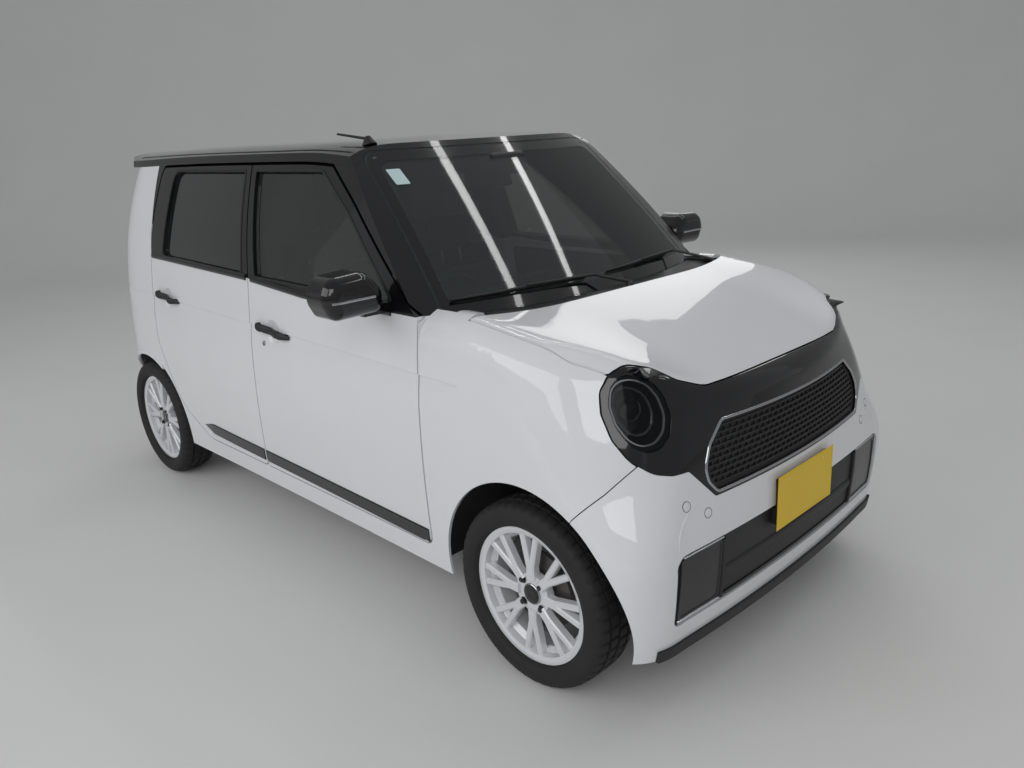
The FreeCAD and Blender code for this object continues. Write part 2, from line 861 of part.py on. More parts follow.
def grille_surround():
    whole = face_skin.common(front_prism(SURROUND))
    whole = whole.cut(front_prism(GRILLE)).cut(front_prism(LENS_RIGHT))
    return largest(whole.cut(mirrored(front_prism(LENS_RIGHT))))


GRILLE_LOW_Z = 617.0
GRILLE_ROWS = 11
GRILLE_PITCH = 16.0
GRILLE_SLOT = 10.0


def grille():
    """A backed grille of level bars with slots between them."""
    plate = front_slab(spread(590, 820, 6), 8, 20).common(front_prism(GRILLE, -SEAT_GAP))
    inside = front_prism(GRILLE, -12)
    front = front_slab(spread(590, 820, 6), 0, 14)
    slots = [
        box(1400, 1800, -480, 480, z - GRILLE_SLOT / 2, z + GRILLE_SLOT / 2)
        for z in (GRILLE_LOW_Z + GRILLE_PITCH * (row + 0.5) for row in range(GRILLE_ROWS))
    ]
    cutter = front.common(inside).common(Part.makeCompound(slots))
    return largest(plate.cut(cutter))


LAMP_ZS = spread(730, 960, 14)


def headlamp_lens():
    lens = face_slab(LAMP_ZS, 1, 6).common(front_prism(LENS_RIGHT, -SEAT_GAP))
    return largest(lens)


LAMP_DEPTH = 90.0


def headlamp():
    """A lamp bowl: a closed back and walls that stand behind the lens."""
    block = face_slab(LAMP_ZS, 6 + SEAT_GAP, LAMP_DEPTH)
    room = face_slab(LAMP_ZS, 0, LAMP_DEPTH - 8)
    bowl = block.common(front_prism(LENS_RIGHT, -SEAT_GAP))
    return largest(bowl.cut(room.common(front_prism(LENS_RIGHT, -8))))


# Engine bay

ARM_TOP_Z = 212.0

RAIL_Y = 370.0


def front_frame():
    """Rails from the firewall, the bumper beam, and the panel that holds the radiator."""
    pieces = []
    start = FIREWALL_X + FIREWALL + SEAT_GAP
    for y in (-RAIL_Y, RAIL_Y):
        pieces.append(box(start, 1600, y - 24, y + 24, 500, 590))
    beam = box(1590, 1700, -520, 520, 500, 590)
    pieces.append(beam.cut(front_slab(spread(450, 640, 5), -200, PANEL + SEAT_GAP)))
    pieces.append(box(1520, 1545, -392, 392, 330, 850).cut(box(1500, 1600, -330, 330, 380, 790)))
    pieces.append(box(1520, 1545, -40, 40, 840, 980).cut(bonnet_slab(-120, PANEL + SEAT_GAP)))
    return largest(fuse(pieces))


def engine():
    return box(1020, 1480, -330, 330, 340, 820)


def front_subframe():
    """A cross frame under the engine with an arm out to each knuckle."""
    deck = box(1100, 1400, -360, 360, 270, 340 - SEAT_GAP)
    pillars = [box(1330, 1400, y - 24, y + 24, 200, 500 - SEAT_GAP) for y in (-RAIL_Y, RAIL_Y)]
    deck = fuse([deck] + pillars)
    arms = [box(FRONT_AXLE_X - 25, FRONT_AXLE_X + 25, a, b, 190, ARM_TOP_Z) for a, b in ((-640, -300), (300, 640))]
    links = [box(FRONT_AXLE_X - 25, FRONT_AXLE_X + 25, a, b, 190, 275) for a, b in ((-340, -300), (300, 340))]
    return fuse([deck] + arms + links)


# Doors


def door_skin(corners):
    skin = side_slab(SIDE_XS, DOOR_ZS, 0, SIDE_SKIN)
    skin = skin.common(side_prism(corners)).cut(roof_layer(-300, ROOF_PANEL + DOOR_TOP_GAP))
    return skin.cut(pressed_line())


DOOR_TOP_GAP = 9.0
HANDLE_CUP_RADIUS = 92.0
HANDLE_CUP_DEPTH = 14.0


def handle_cup(x, z):
    """The round hollow behind a door handle."""
    centre_y = -half_width(x, z) - HANDLE_CUP_RADIUS + HANDLE_CUP_DEPTH
    return Part.makeSphere(HANDLE_CUP_RADIUS, Vector(x, centre_y, z))


def door(corners, aperture, glass, cup):
    """The outer door and the narrower part that stands inside the frame, with its window cut."""
    skin = door_skin(corners).cut(handle_cup(*cup))
    trim = side_slab(SIDE_XS, DOOR_ZS, SIDE_SKIN, SIDE_SKIN + DOOR_TRIM_DEPTH)
    trim = trim.common(side_prism(aperture, -RUNNING_GAP - 4))
    trim = trim.common(box(-1800, 1800, -900, 900, 0, 1040))
    whole = skin.fuse(trim)
    return largest(whole.cut(side_prism(glass)))


def door_glass(glass):
    pane = side_slab(SIDE_XS, DOOR_ZS, GLASS_INSET, GLASS_INSET + GLASS)
    return largest(pane.common(side_prism(glass, -SEAT_GAP)))


MIRROR_OUTLINE = [
    (-742, 1050, 30),
    (-738, 1120, 60),
    (-790, 1180, 60),
    (-925, 1172, 60),
    (-948, 1110, 60),
    (-915, 1046, 40),
]
MIRROR_REAR_X = 615.0
MIRROR_DEPTH = 112.0
MIRROR_EDGE = 40.0


def mirror():
    """A door mirror: a housing rounded to the front, on a short foot."""
    housing = prism(MIRROR_OUTLINE, "x", MIRROR_REAR_X, MIRROR_REAR_X + MIRROR_DEPTH)
    rim = [e for e in housing.Edges if e.BoundBox.XMin > MIRROR_REAR_X + MIRROR_DEPTH - 1]
    housing = housing.makeFillet(MIRROR_EDGE, rim)
    foot = box(632, 690, -800, -600, 1040, 1070)
    foot = foot.cut(side_slab(SIDE_XS, spread(900, 1200, 5), -SEAT_GAP, 400))
    return largest(housing.fuse(largest(foot)))


# Back end


TAILGATE_SKIN = 24.0
TAILGATE_DEPTH = 42.0
TAILGATE_STEP = 10.0


def tailgate():
    """The lid's outer skin, with a narrower frame inside that swings clear of the opening."""
    angles = [a for a in REAR_ANGLES if abs(a) < 60]
    zs = spread(440, 1520, 20)
    skin = rear_slab(angles, zs, 0, TAILGATE_SKIN).common(rear_prism(TAILGATE))
    frame = rear_slab(angles, zs, TAILGATE_SKIN - 1, TAILGATE_DEPTH)
    frame = frame.common(rear_prism(TAILGATE, -TAILGATE_STEP))
    shell = skin.fuse(frame).cut(rear_prism(TAILGATE_GLASS))
    top = roof_slab(ROOF_PANEL - 6, ROOF_PANEL + 26, -1545, ROOF_REAR_X - SHUT_GAP, 462)
    return largest(shell.fuse(top).cut(above_spoiler()))


def above_spoiler():
    return roof_layer(-300, ROOF_PANEL)


TAILGATE_GLASS = [
    (-500, 1030, 60),
    (-450, 1425, 60),
    (450, 1425, 60),
    (500, 1030, 60),
]


def tailgate_glass():
    angles = [a for a in REAR_ANGLES if abs(a) < 60]
    pane = rear_slab(angles, spread(960, 1500, 10), 6, 11)
    return largest(pane.common(rear_prism(TAILGATE_GLASS, -SEAT_GAP)))


SPOILER_PLAN = [
    (ROOF_REAR_X - SHUT_GAP, -596, 4),
    (-1560, -520, 60),
    (-1600, -300, 300),
    (-1600, 300, 300),
    (-1560, 520, 60),
    (ROOF_REAR_X - SHUT_GAP, 596, 4),
]


SPOILER_LIP = 62.0
SPOILER_LIP_X = -1572.0


def spoiler():
    """The blade over the tailgate's glass, with a deeper lip along its rear edge."""
    blade = roof_layer(0, ROOF_PANEL - SEAT_GAP)
    lip = roof_layer(0, SPOILER_LIP).common(box(-1700, SPOILER_LIP_X, -700, 700, 1300, 1600))
    lip = lip.cut(rear_slab(REAR_ANGLES[6:-6], spread(1380, 1540, 8), -2, 200))
    whole = blade.fuse(lip).common(plan_prism_high(SPOILER_PLAN))
    return largest(whole.cut(over_sides()))


def plan_prism_high(corners):
    return prism(corners, "z", 1300, 1700)


def rear_bumper():
    shell = rear_slab([a for a in REAR_ANGLES if abs(a) < 85], spread(200, 640, 10), 0, PANEL)
    shell = shell.cut(rear_prism(TAILGATE, SHUT_GAP))
    shell = shell.cut(box(-1900, 0, -900, 900, REAR_BUMPER_TOP_Z, 900))
    arch = cylinder(REAR_ARCH_RADIUS, (REAR_AXLE_X, SIDE_LOW_Y, ARCH_Z), (0, 1, 0), 1800)
    return largest(shell.cut(arch).cut(box(REAR_AXLE_X, 0, -900, 900, 0, 900)))


def tail_lamp():
    lamp = rear_slab([a for a in REAR_ANGLES if -80 < a < -20], spread(600, 1010, 9), 0, 55)
    return largest(lamp.common(rear_prism(TAIL_LAMP)))


def rear_panel():
    """The cross panel behind the luggage floor, with two brackets that hold the bumper."""
    wall = box(-1650, -1640 - SEAT_GAP, -500, 500, 260, LUGGAGE_Z)
    brackets = fuse([wall] + [box(-1700, -1645, y - 30, y + 30, 330, 430) for y in (-380, 380)])
    skin = rear_slab([a for a in REAR_ANGLES if abs(a) < 50], spread(220, 520, 7), -200, PANEL + SEAT_GAP)
    return largest(brackets.cut(skin))


def rear_axle():
    """A torsion beam: two trailing arms from their front bushes, a cross beam, springs, stub axles."""
    beam = box(-1080, -1000, -520, 520, 240, 290)
    pieces = [beam]
    for low, high in ((-535, -485), (485, 535)):
        pieces.append(box(-1330, -860, low, high, 240, 300))
        pieces.append(box(-890, -860, low, high, 290, 400 - FLOOR - SEAT_GAP))
        y = (low + high) / 2
        pieces.append(cylinder(30, (-1180, y, 295), (0, 0, 1), LUGGAGE_Z - FLOOR - SEAT_GAP - 295))
    for low, high in ((-WHEEL_Y - 40, -500), (500, WHEEL_Y + 40)):
        pieces.append(cylinder(HUB_RADIUS, (REAR_AXLE_X, low, TYRE_RADIUS), (0, 1, 0), high - low))
    return fuse(pieces)


# Wheels


def revolve(profile, centre):
    """Turn an (axial, radius) outline round the wheel's axis, which runs along Y."""
    wire = Part.makePolygon([Vector(0, a, r) for a, r in profile + profile[:1]])
    solid = Part.Face(wire).revolve(Vector(0, 0, 0), Vector(0, 1, 0), 360)
    solid.translate(Vector(*centre))
    return solid


def tyre(centre):
    """The tyre's carcass: beads on the rim's seats, bulged walls, a hollow inside."""
    half = TYRE_WIDTH / 2
    bead = RIM_WIDTH / 2 - SEAT_GAP
    seat = BEAD_RADIUS + 2 * SEAT_GAP
    wall = [(-bead, seat), (-bead, seat + 17), (-70, 214), (-half, 236), (-80, 258), (-68, 275), (-50, TYRE_RADIUS)]
    inner = [(50, 269), (66, 260), (71, 238), (60, 219), (bead - 10, 210), (bead - 10, seat)]
    outer = wall + [(-a, r) for a, r in wall[::-1]]
    return revolve(outer + inner[::-1] + [(-a, r) for a, r in inner], centre)


def spoke_fork():
    """One forked spoke along X: a stem and two arms with their outer edges bevelled."""
    arms = []
    for turn, shape in ((1, SPOKE_STEM), (-1, SPOKE_FORK), (1, SPOKE_FORK)):
        corners = [(r, turn * w, k) for r, w, k in shape]
        arm = prism(corners, "y", SPOKE_BACK_Y, SPOKE_FACE_Y)
        ridge = [e for e in arm.Edges if e.BoundBox.YMin > SPOKE_FACE_Y - 0.1 and e.BoundBox.XLength > 30]
        arms.append(arm.makeChamfer(SPOKE_CHAMFER, ridge).Solids[0])
    return arms[0].multiFuse(arms[1:])


def wheel_rim():
    """A left wheel's barrel, hub and forked spokes about the origin."""
    seat = RIM_WIDTH / 2
    lip = seat + RIM_LIP
    half = [(lip, RIM_RADIUS), (seat, RIM_RADIUS), (seat, BEAD_RADIUS), (36, BEAD_RADIUS), (24, 175)]
    under = [(24, 169), (38, 183), (seat + 0.5, 187.5), (lip, RIM_RADIUS - FLANGE)]
    barrel = half + [(-a, r) for a, r in half[::-1]] + [(-a, r) for a, r in under[::-1]] + under
    forks = []
    for i in range(SPOKE_PAIRS):
        fork = spoke_fork()
        fork.rotate(Vector(0, 0, 0), Vector(0, 1, 0), i * 360 / SPOKE_PAIRS)
        forks.append(fork)
    star = cylinder(62, (0, 20, 0), (0, 1, 0), 26).multiFuse(forks)
    star = star.common(cylinder(BEAD_RADIUS - 1.2, (0, 0, 0), (0, 1, 0), 80))
    whole = star.fuse(revolve(barrel, (0, 0, 0))).removeSplitter()
    return largest(whole.cut(cylinder(HUB_RADIUS + 0.5, (0, -60, 0), (0, 1, 0), 120)))


def moved(shape, centre):
    copy = shape.copy()
    copy.translate(Vector(*centre))
    return copy


SPOKE_BACK_Y = 30.0
SPOKE_FACE_Y = 55.0
SPOKE_CHAMFER = 4.0
FLANGE = 9.0
# Corners as (distance from the axle, distance from the spoke's middle line, corner radius)
SPOKE_STEM = [(50, -16, 0), (98, -15, 0), (98, 15, 0), (50, 16, 0)]
SPOKE_FORK = [(88, -5, 0), (194, 18, 0), (194, 39, 0), (84, 15, 0)]


def knuckle():
    """The right front knuckle on its ball joint: foot, upright, stub axle, strut."""
    x = FRONT_AXLE_X
    foot = box(x - 22, x + 22, -BALL_JOINT_Y - 12, -500, ARM_TOP_Z + SEAT_GAP, 245)
    upright = box(x - 30, x + 30, -552, -508, 245, 400)
    stub = cylinder(HUB_RADIUS, (x, -WHEEL_Y - 40, TYRE_RADIUS), (0, 1, 0), 180)
    disc = cylinder(120, (x, -665, TYRE_RADIUS), (0, 1, 0), 12)
    length = STRUT_TOP_Z - 380
    strut = cylinder(20, (x, -528, 380), (0, 8 / length, 1), length)
    return fuse([foot, upright, stub, disc, strut])


# Cabin

DASH_FRONT_X = FIREWALL_X - SEAT_GAP
DASH_PROFILE = [(DASH_FRONT_X, 600, 20), (DASH_FRONT_X, 1000, 30), (640, 1000, 60), (560, 900, 60), (580, 640, 40)]


def dashboard():
    body = prism(DASH_PROFILE, "y", -620, 620)
    body = body.cut(cabin_wall())
    column = cylinder(26, (600, -STEER_Y, 850), (-math.cos(STEER_TILT), 0, math.sin(STEER_TILT)), 119.7)
    return largest(body.fuse(column))


STEER_Y = 330.0
STEER_TILT = math.radians(24)
STEER_LENGTH = 120.0


def steering_axis():
    return Vector(-math.cos(STEER_TILT), 0, math.sin(STEER_TILT))


def steering_wheel():
    foot = Vector(600, -STEER_Y, 850) + steering_axis() * STEER_LENGTH
    ring = Part.makeTorus(178, 13, foot + steering_axis() * 30, steering_axis())
    hub = Part.makeCylinder(60, 40, foot, steering_axis())
    across = Vector(0, 1, 0)
    up = steering_axis().cross(across)
    pieces = [ring, hub]
    for d in (across, across * -1, up):
        pieces.append(Part.makeCylinder(12, 180, foot + steering_axis() * 26, d))
    return fuse(pieces)


def front_seat():
    y0, y1 = -590.0, -80.0
    cushion = prism([(-120, 350, 60), (360, 370, 80), (370, 490, 60), (-60, 460, 40)], "y", y0, y1)
    back = prism([(-140, 400, 60), (-40, 440, 60), (-190, 1000, 60), (-290, 990, 60)], "y", y0 + 20, y1 - 20)
    head = prism([(-290, 1020, 30), (-200, 1030, 30), (-230, 1200, 40), (-310, 1190, 40)], "y", -465, -205)
    post = box(-262, -240, -350, -320, 960, 1060)
    base = box(-80, 330, -520, -150, FLOOR_Z + FLOOR + SEAT_GAP, 400)
    return fuse([cushion, back, head, post, base])


def rear_seat():
    z = 400 + SEAT_GAP
    cushion = prism([(-890, z, 20), (-600, z, 20), (-420, 420, 40), (-420, 520, 60), (-880, 490, 40)], "y", -600, 600)
    back = prism([(-895, 480, 30), (-800, 500, 40), (-930, 960, 60), (-1010, 950, 40)], "y", -540, 540)
    heads = [
        prism([(-1020, 980, 20), (-950, 985, 30), (-970, 1120, 40), (-1035, 1110, 30)], "y", a, a + 230)
        for a in (-430, 200)
    ]
    posts = [box(-995, -975, a, a + 30, 930, 1010) for a in (-330, 300)]
    whole = fuse([cushion, back] + heads + posts)
    return largest(whole.cut(cabin_wall()))


def fuel_tank():
    return box(-500, 200, -300, 300, 190, FLOOR_Z - SEAT_GAP)


def exhaust():
    pipe = cylinder(24, (-1560, 360, 330), (1, 0, 0), 960)
    muffler = prism([(-1560, 290, 40), (-1180, 290, 40), (-1180, 420, 40), (-1560, 420, 40)], "y", 270, 470)
    hanger = box(-1400, -1380, 360, 380, 400, LUGGAGE_Z - FLOOR - SEAT_GAP)
    return largest(fuse([pipe, muffler, hanger]))


def front_plate():
    half, rise = PLATE_LENGTH / 2, PLATE_HEIGHT / 2
    plate = box(HALF_LENGTH - PLATE_THICKNESS, HALF_LENGTH, -half, half, PLATE_Z - rise, PLATE_Z + rise)
    for y in (-PLATE_HOLE_SPACING / 2, PLATE_HOLE_SPACING / 2):
        hole = cylinder(PLATE_HOLE_RADIUS, (1600, y, PLATE_Z + PLATE_HOLE_RISE), (1, 0, 0), 200)
        plate = plate.cut(hole)
    return plate


def fuel_lid():
    lid = side_slab(spread(-1400, -1100, 5), spread(700, 950, 5), 0, 8)
    return mirrored(lid.common(side_prism(FUEL_LID)))


FUEL_LID = [(-1340, 760, 40), (-1340, 900, 40), (-1200, 900, 40), (-1200, 760, 40)]


def fuel_pocket():
    pocket = side_slab(spread(-1400, -1100, 5), spread(700, 950, 5), -20, 8 + SEAT_GAP)
    return mirrored(pocket.common(side_prism(FUEL_LID, 3)))


if __name__ == "__main__":
    os.makedirs("parts", exist_ok=True)

    front_door = door(FRONT_DOOR, FRONT_APERTURE, FRONT_GLASS, FRONT_HANDLE)
    rear_door = door(REAR_DOOR, REAR_APERTURE, REAR_GLASS, REAR_HANDLE)
    side = largest(body_side())
    quarter = quarter_panel()
    front_tub, rear_tub = wheel_houses()
    houses = [front_house(front_tub), rear_house(rear_tub)]
    wheel_centres = {
        "front_right": (FRONT_AXLE_X, -WHEEL_Y, TYRE_RADIUS),
        "front_left": (FRONT_AXLE_X, WHEEL_Y, TYRE_RADIUS),
        "rear_right": (REAR_AXLE_X, -WHEEL_Y, TYRE_RADIUS),
        "rear_left": (REAR_AXLE_X, WHEEL_Y, TYRE_RADIUS),
    }
    nodes = {
        "body_sides": both(side),
        "quarter_panels": Part.makeCompound([quarter, mirrored(quarter).cut(fuel_pocket())]),
        "roof": roof(),
        "floor_pan": floor_pan(),
        "firewall": firewall(),
        "cowl": cowl(),
        "windscreen": windscreen(),
        "wheel_houses": Part.makeCompound(houses + [mirrored(h) for h in houses]),
        "wings": both(wing()),
        "bonnet": bonnet(),
        "front_bumper": front_bumper(),
        "front_lip": front_lip(),
        "lower_grille": lower_grille(),
        "grille_surround": grille_surround(),
        "grille": grille(),
        "headlamps": both(headlamp()),
        "headlamp_lenses": both(headlamp_lens()),
        "front_frame": front_frame(),
        "engine": engine(),
        "front_subframe": front_subframe(),
        "rear_axle": rear_axle(),
        "fuel_tank": fuel_tank(),
        "exhaust": exhaust(),
        "rear_bumper": rear_bumper(),
        "rear_panel": rear_panel(),
        "tail_lamps": both(tail_lamp()),
        "front_plate": front_plate(),
        "dashboard": dashboard(),
        "steering_wheel": steering_wheel(),
        "front_seats": both(front_seat()),
        "rear_seat": rear_seat(),
        "tailgate": tailgate(),
        "tailgate_glass": tailgate_glass(),
        "spoiler": spoiler(),
        "fuel_lid": fuel_lid(),
        "knuckle_right": knuckle(),
        "knuckle_left": mirrored(knuckle()),
    }
    for hand, turn in (("right", lambda s: s), ("left", mirrored)):
        nodes["door_front_" + hand] = turn(front_door)
        nodes["door_rear_" + hand] = turn(rear_door)
        nodes["glass_front_" + hand] = turn(door_glass(FRONT_GLASS))
        nodes["glass_rear_" + hand] = turn(door_glass(REAR_GLASS))
        nodes["mirror_" + hand] = turn(mirror())
    rim = wheel_rim()
    for place, centre in wheel_centres.items():
        nodes["tyre_" + place] = tyre(centre)
        nodes["rim_" + place] = moved(rim if "left" in place else mirrored(rim), centre)
    for name, shape in nodes.items():
        shape.exportStep("parts/" + name + ".step")
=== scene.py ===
import json
import math
import bmesh
import bpy
from mathutils import Matrix, Vector
from mathutils.bvhtree import BVHTree


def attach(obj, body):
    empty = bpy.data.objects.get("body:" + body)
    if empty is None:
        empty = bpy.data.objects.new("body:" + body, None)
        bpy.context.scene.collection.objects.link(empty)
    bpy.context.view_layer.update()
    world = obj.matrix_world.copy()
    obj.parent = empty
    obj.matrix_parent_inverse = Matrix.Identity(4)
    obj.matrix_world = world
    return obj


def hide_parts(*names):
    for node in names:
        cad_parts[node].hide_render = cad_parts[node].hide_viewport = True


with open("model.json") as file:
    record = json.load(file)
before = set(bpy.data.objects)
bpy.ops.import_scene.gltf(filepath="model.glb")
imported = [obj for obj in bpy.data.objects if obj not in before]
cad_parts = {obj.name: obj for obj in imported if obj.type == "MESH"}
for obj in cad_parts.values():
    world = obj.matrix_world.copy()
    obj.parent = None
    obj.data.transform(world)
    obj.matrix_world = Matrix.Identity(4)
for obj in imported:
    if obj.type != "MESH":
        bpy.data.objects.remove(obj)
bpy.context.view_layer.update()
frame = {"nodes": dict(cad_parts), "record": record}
nodes = frame["nodes"]
MM = 0.001

HANDS = (("right", -1), ("left", 1))
# Outlines in the views from the front and the back are drawn for the right, and the left mirrors them
FLIPS = (("right", 1), ("left", -1))

# Materials

PATCH_SCALE = 6.0
COAT_ROUGHNESS = 0.03


def shader_nodes(name):
    material = bpy.data.materials.new(name)
    material.use_nodes = True
    tree = material.node_tree
    return material, tree, tree.nodes["Principled BSDF"]


def set_sockets(node, values):
    for socket, value in values.items():
        node.inputs[socket].default_value = value


def add_noise(tree, scale, detail):
    """A noise in the piece's own coordinates; scale is in waves per metre."""
    place = tree.nodes.new("ShaderNodeTexCoord")
    noise = tree.nodes.new("ShaderNodeTexNoise")
    set_sockets(noise, {"Scale": scale, "Detail": detail})
    tree.links.new(place.outputs["Object"], noise.inputs["Vector"])
    return noise.outputs["Fac"]


def add_range(tree, source, low, high, start=0.3, end=0.7):
    """A source between start and end, spread from low to high."""
    band = tree.nodes.new("ShaderNodeMapRange")
    set_sockets(band, {"From Min": start, "From Max": end, "To Min": low, "To Max": high})
    tree.links.new(source, band.inputs["Value"])
    return band.outputs["Result"]


def add_mix(tree, factor, first, second):
    mix = tree.nodes.new("ShaderNodeMix")
    mix.data_type = "RGBA"
    for socket, value in ((mix.inputs[6], first), (mix.inputs[7], second)):
        if isinstance(value, bpy.types.NodeSocket):
            tree.links.new(value, socket)
        else:
            socket.default_value = (*value, 1)
    tree.links.new(factor, mix.inputs["Factor"])
    return mix.outputs[2]


def join(tree, operation, first, second):
    node = tree.nodes.new("ShaderNodeMath")
    node.operation = operation
    for socket, value in zip(node.inputs, (first, second)):
        if isinstance(value, bpy.types.NodeSocket):
            tree.links.new(value, socket)
        else:
            socket.default_value = value
    return node.outputs[0]


def add_bump(tree, bsdf, source, height):
    bump = tree.nodes.new("ShaderNodeBump")
    set_sockets(bump, {"Strength": 1.0, "Distance": height})
    tree.links.new(source, bump.inputs["Height"])
    tree.links.new(bump.outputs["Normal"], bsdf.inputs["Normal"])


def shade(colour, factor):
    return tuple(min(1.0, c * factor) for c in colour)


def wandering(tree, factor, colour, spread):
    """A colour that drifts by spread to either side."""
    return add_mix(tree, factor, shade(colour, 1 - spread), shade(colour, 1 + spread))


def plain_finish(name, colour, rough, metal, coat, mottle, grain_scale, grain_height):
    """Slow colour and gloss changes over the piece, and a fine grain in its surface."""
    material, tree, bsdf = shader_nodes(name)
    set_sockets(bsdf, {"Metallic": metal, "Specular IOR Level": 0.5 - 0.4 * coat})
    set_sockets(bsdf, {"Coat Weight": coat, "Coat Roughness": COAT_ROUGHNESS})
    tint = wandering(tree, add_noise(tree, PATCH_SCALE, 4), colour, mottle)
    tree.links.new(tint, bsdf.inputs["Base Color"])
    fine = add_noise(tree, grain_scale, 3)
    tree.links.new(add_range(tree, fine, rough * 0.85, rough * 1.15), bsdf.inputs["Roughness"])
    add_bump(tree, bsdf, fine, grain_height)
    return material


WHITE = (0.76, 0.77, 0.79)
BLACK = (0.004, 0.004, 0.005)

# name, colour, roughness, metallic, coat, mottle, grain scale per metre, grain height in metres
FINISHES = (
    ("body_paint", WHITE, 0.34, 0.0, 1.0, 0.02, 900, 0.000006),
    ("gloss_black", BLACK, 0.16, 0.0, 1.0, 0.2, 900, 0.000004),
    ("underbody", (0.05, 0.05, 0.052), 0.7, 0.0, 0.0, 0.25, 250, 0.0004),
    ("black_plastic", (0.014, 0.014, 0.015), 0.52, 0.0, 0.0, 0.12, 700, 0.00012),
    ("lamp_bowl", (0.012, 0.012, 0.014), 0.3, 0.0, 0.3, 0.2, 500, 0.00001),
    ("engine_metal", (0.3, 0.3, 0.31), 0.45, 0.9, 0.0, 0.15, 260, 0.0002),
    ("steel", (0.16, 0.15, 0.145), 0.5, 0.8, 0.0, 0.3, 220, 0.0002),
    ("exhaust_steel", (0.36, 0.33, 0.3), 0.4, 0.95, 0.0, 0.25, 160, 0.0001),
    ("tail_lamp", (0.35, 0.005, 0.008), 0.12, 0.0, 1.0, 0.1, 400, 0.00001),
    ("plate", (0.82, 0.56, 0.02), 0.42, 0.1, 0.0, 0.03, 500, 0.00002),
    ("cabin_plastic", (0.02, 0.02, 0.022), 0.55, 0.0, 0.0, 0.1, 900, 0.0001),
    ("rim_paint", (0.72, 0.73, 0.75), 0.3, 0.15, 1.0, 0.03, 800, 0.000008),
    ("dark_chrome", (0.42, 0.42, 0.44), 0.16, 1.0, 0.2, 0.1, 600, 0.000004),
    ("bright_trim", (0.8, 0.81, 0.83), 0.12, 1.0, 0.2, 0.05, 600, 0.000004),
    ("soft_rubber", (0.012, 0.012, 0.012), 0.62, 0.0, 0.0, 0.15, 600, 0.00006),
    ("headliner", (0.10, 0.10, 0.10), 0.9, 0.0, 0.0, 0.08, 1600, 0.0002),
    ("reflector_red", (0.4, 0.01, 0.01), 0.15, 0.0, 1.0, 0.1, 300, 0.0001),
    ("turn_lamp", (0.75, 0.26, 0.02), 0.15, 0.0, 1.0, 0.1, 300, 0.0001),
    ("lamp_silver", (0.75, 0.76, 0.78), 0.12, 1.0, 0.0, 0.05, 400, 0.00001),
    ("light_guide", (0.85, 0.87, 0.9), 0.25, 0.0, 0.6, 0.03, 300, 0.00002),
    ("sticker", (0.55, 0.72, 0.75), 0.45, 0.0, 0.0, 0.05, 300, 0.00001),
    ("mirror_glass", (0.72, 0.75, 0.78), 0.04, 1.0, 0.0, 0.02, 300, 0.000002),
)
materials = {row[0]: plain_finish(*row) for row in FINISHES}


def glass_finish(name, colour, clear_alpha, gloss):
    """Tinted glass that lets less through and shines more where it is seen edge on."""
    material, tree, bsdf = shader_nodes(name)
    tree.links.new(wandering(tree, add_noise(tree, 2.0, 2), colour, 0.05), bsdf.inputs["Base Color"])
    set_sockets(bsdf, {"Specular IOR Level": 0.8 * gloss, "Coat Weight": gloss})
    smear = add_noise(tree, 9.0, 4)
    tree.links.new(add_range(tree, smear, 0.02, 0.05), bsdf.inputs["Roughness"])
    edge = tree.nodes.new("ShaderNodeLayerWeight")
    edge.inputs["Blend"].default_value = 0.12
    clear = add_range(tree, edge.outputs["Fresnel"], clear_alpha, 1.0, 0.0, 1.0)
    tree.links.new(clear, bsdf.inputs["Alpha"])
    return material


# name, colour, share of light stopped, gloss
GLASSES = (
    ("screen_glass", (0.02, 0.03, 0.028), 0.42, 1.0),
    ("side_glass", (0.02, 0.028, 0.024), 0.55, 1.0),
    ("dark_glass", (0.008, 0.009, 0.01), 0.86, 1.0),
    ("lamp_glass", (0.010, 0.011, 0.013), 0.42, 0.12),
)
materials.update((row[0], glass_finish(*row)) for row in GLASSES)


def cloth_finish(name, colour, thread):
    """Woven seat cloth: crossing threads, a soft sheen and worn lighter patches."""
    material, tree, bsdf = shader_nodes(name)
    place = tree.nodes.new("ShaderNodeTexCoord")
    waves = []
    for direction in ("X", "Z"):
        wave = tree.nodes.new("ShaderNodeTexWave")
        wave.bands_direction = direction
        set_sockets(wave, {"Scale": 1 / thread / 20, "Distortion": 0.6})
        tree.links.new(place.outputs["Object"], wave.inputs["Vector"])
        waves.append(wave.outputs["Fac"])
    weave = join(tree, "MULTIPLY", *waves)
    worn = add_noise(tree, 5.0, 3)
    base = add_mix(tree, weave, shade(colour, 0.6), shade(colour, 1.5))
    tint = add_mix(tree, add_range(tree, worn, 0.0, 0.35), base, shade(colour, 2.2))
    tree.links.new(tint, bsdf.inputs["Base Color"])
    set_sockets(bsdf, {"Roughness": 0.9, "Sheen Weight": 0.3, "Sheen Roughness": 0.5})
    add_bump(tree, bsdf, weave, 0.0003)
    return material


# name, colour, thread in metres
CLOTHS = (
    ("seat_fabric", (0.028, 0.028, 0.031), 0.0016),
    ("seat_piping", (0.05, 0.05, 0.055), 0.0012),
)
materials.update((row[0], cloth_finish(*row)) for row in CLOTHS)


def tyre_finish():
    material, tree, bsdf = shader_nodes("tyre")
    dust = add_noise(tree, 14.0, 5)
    tint = add_mix(tree, dust, (0.008, 0.008, 0.008), (0.019, 0.018, 0.018))
    tree.links.new(tint, bsdf.inputs["Base Color"])
    fine = add_noise(tree, 500, 2)
    tree.links.new(add_range(tree, fine, 0.62, 0.82), bsdf.inputs["Roughness"])
    add_bump(tree, bsdf, fine, 0.00015)
    return material


materials["tyre"] = tyre_finish()


def add_line(tree, along, height, slope, level):
    """1 where height is above slope * along + level, in metres, else 0."""
    line = join(tree, "ADD", join(tree, "MULTIPLY", along, slope), level)
    return join(tree, "GREATER_THAN", height, line)


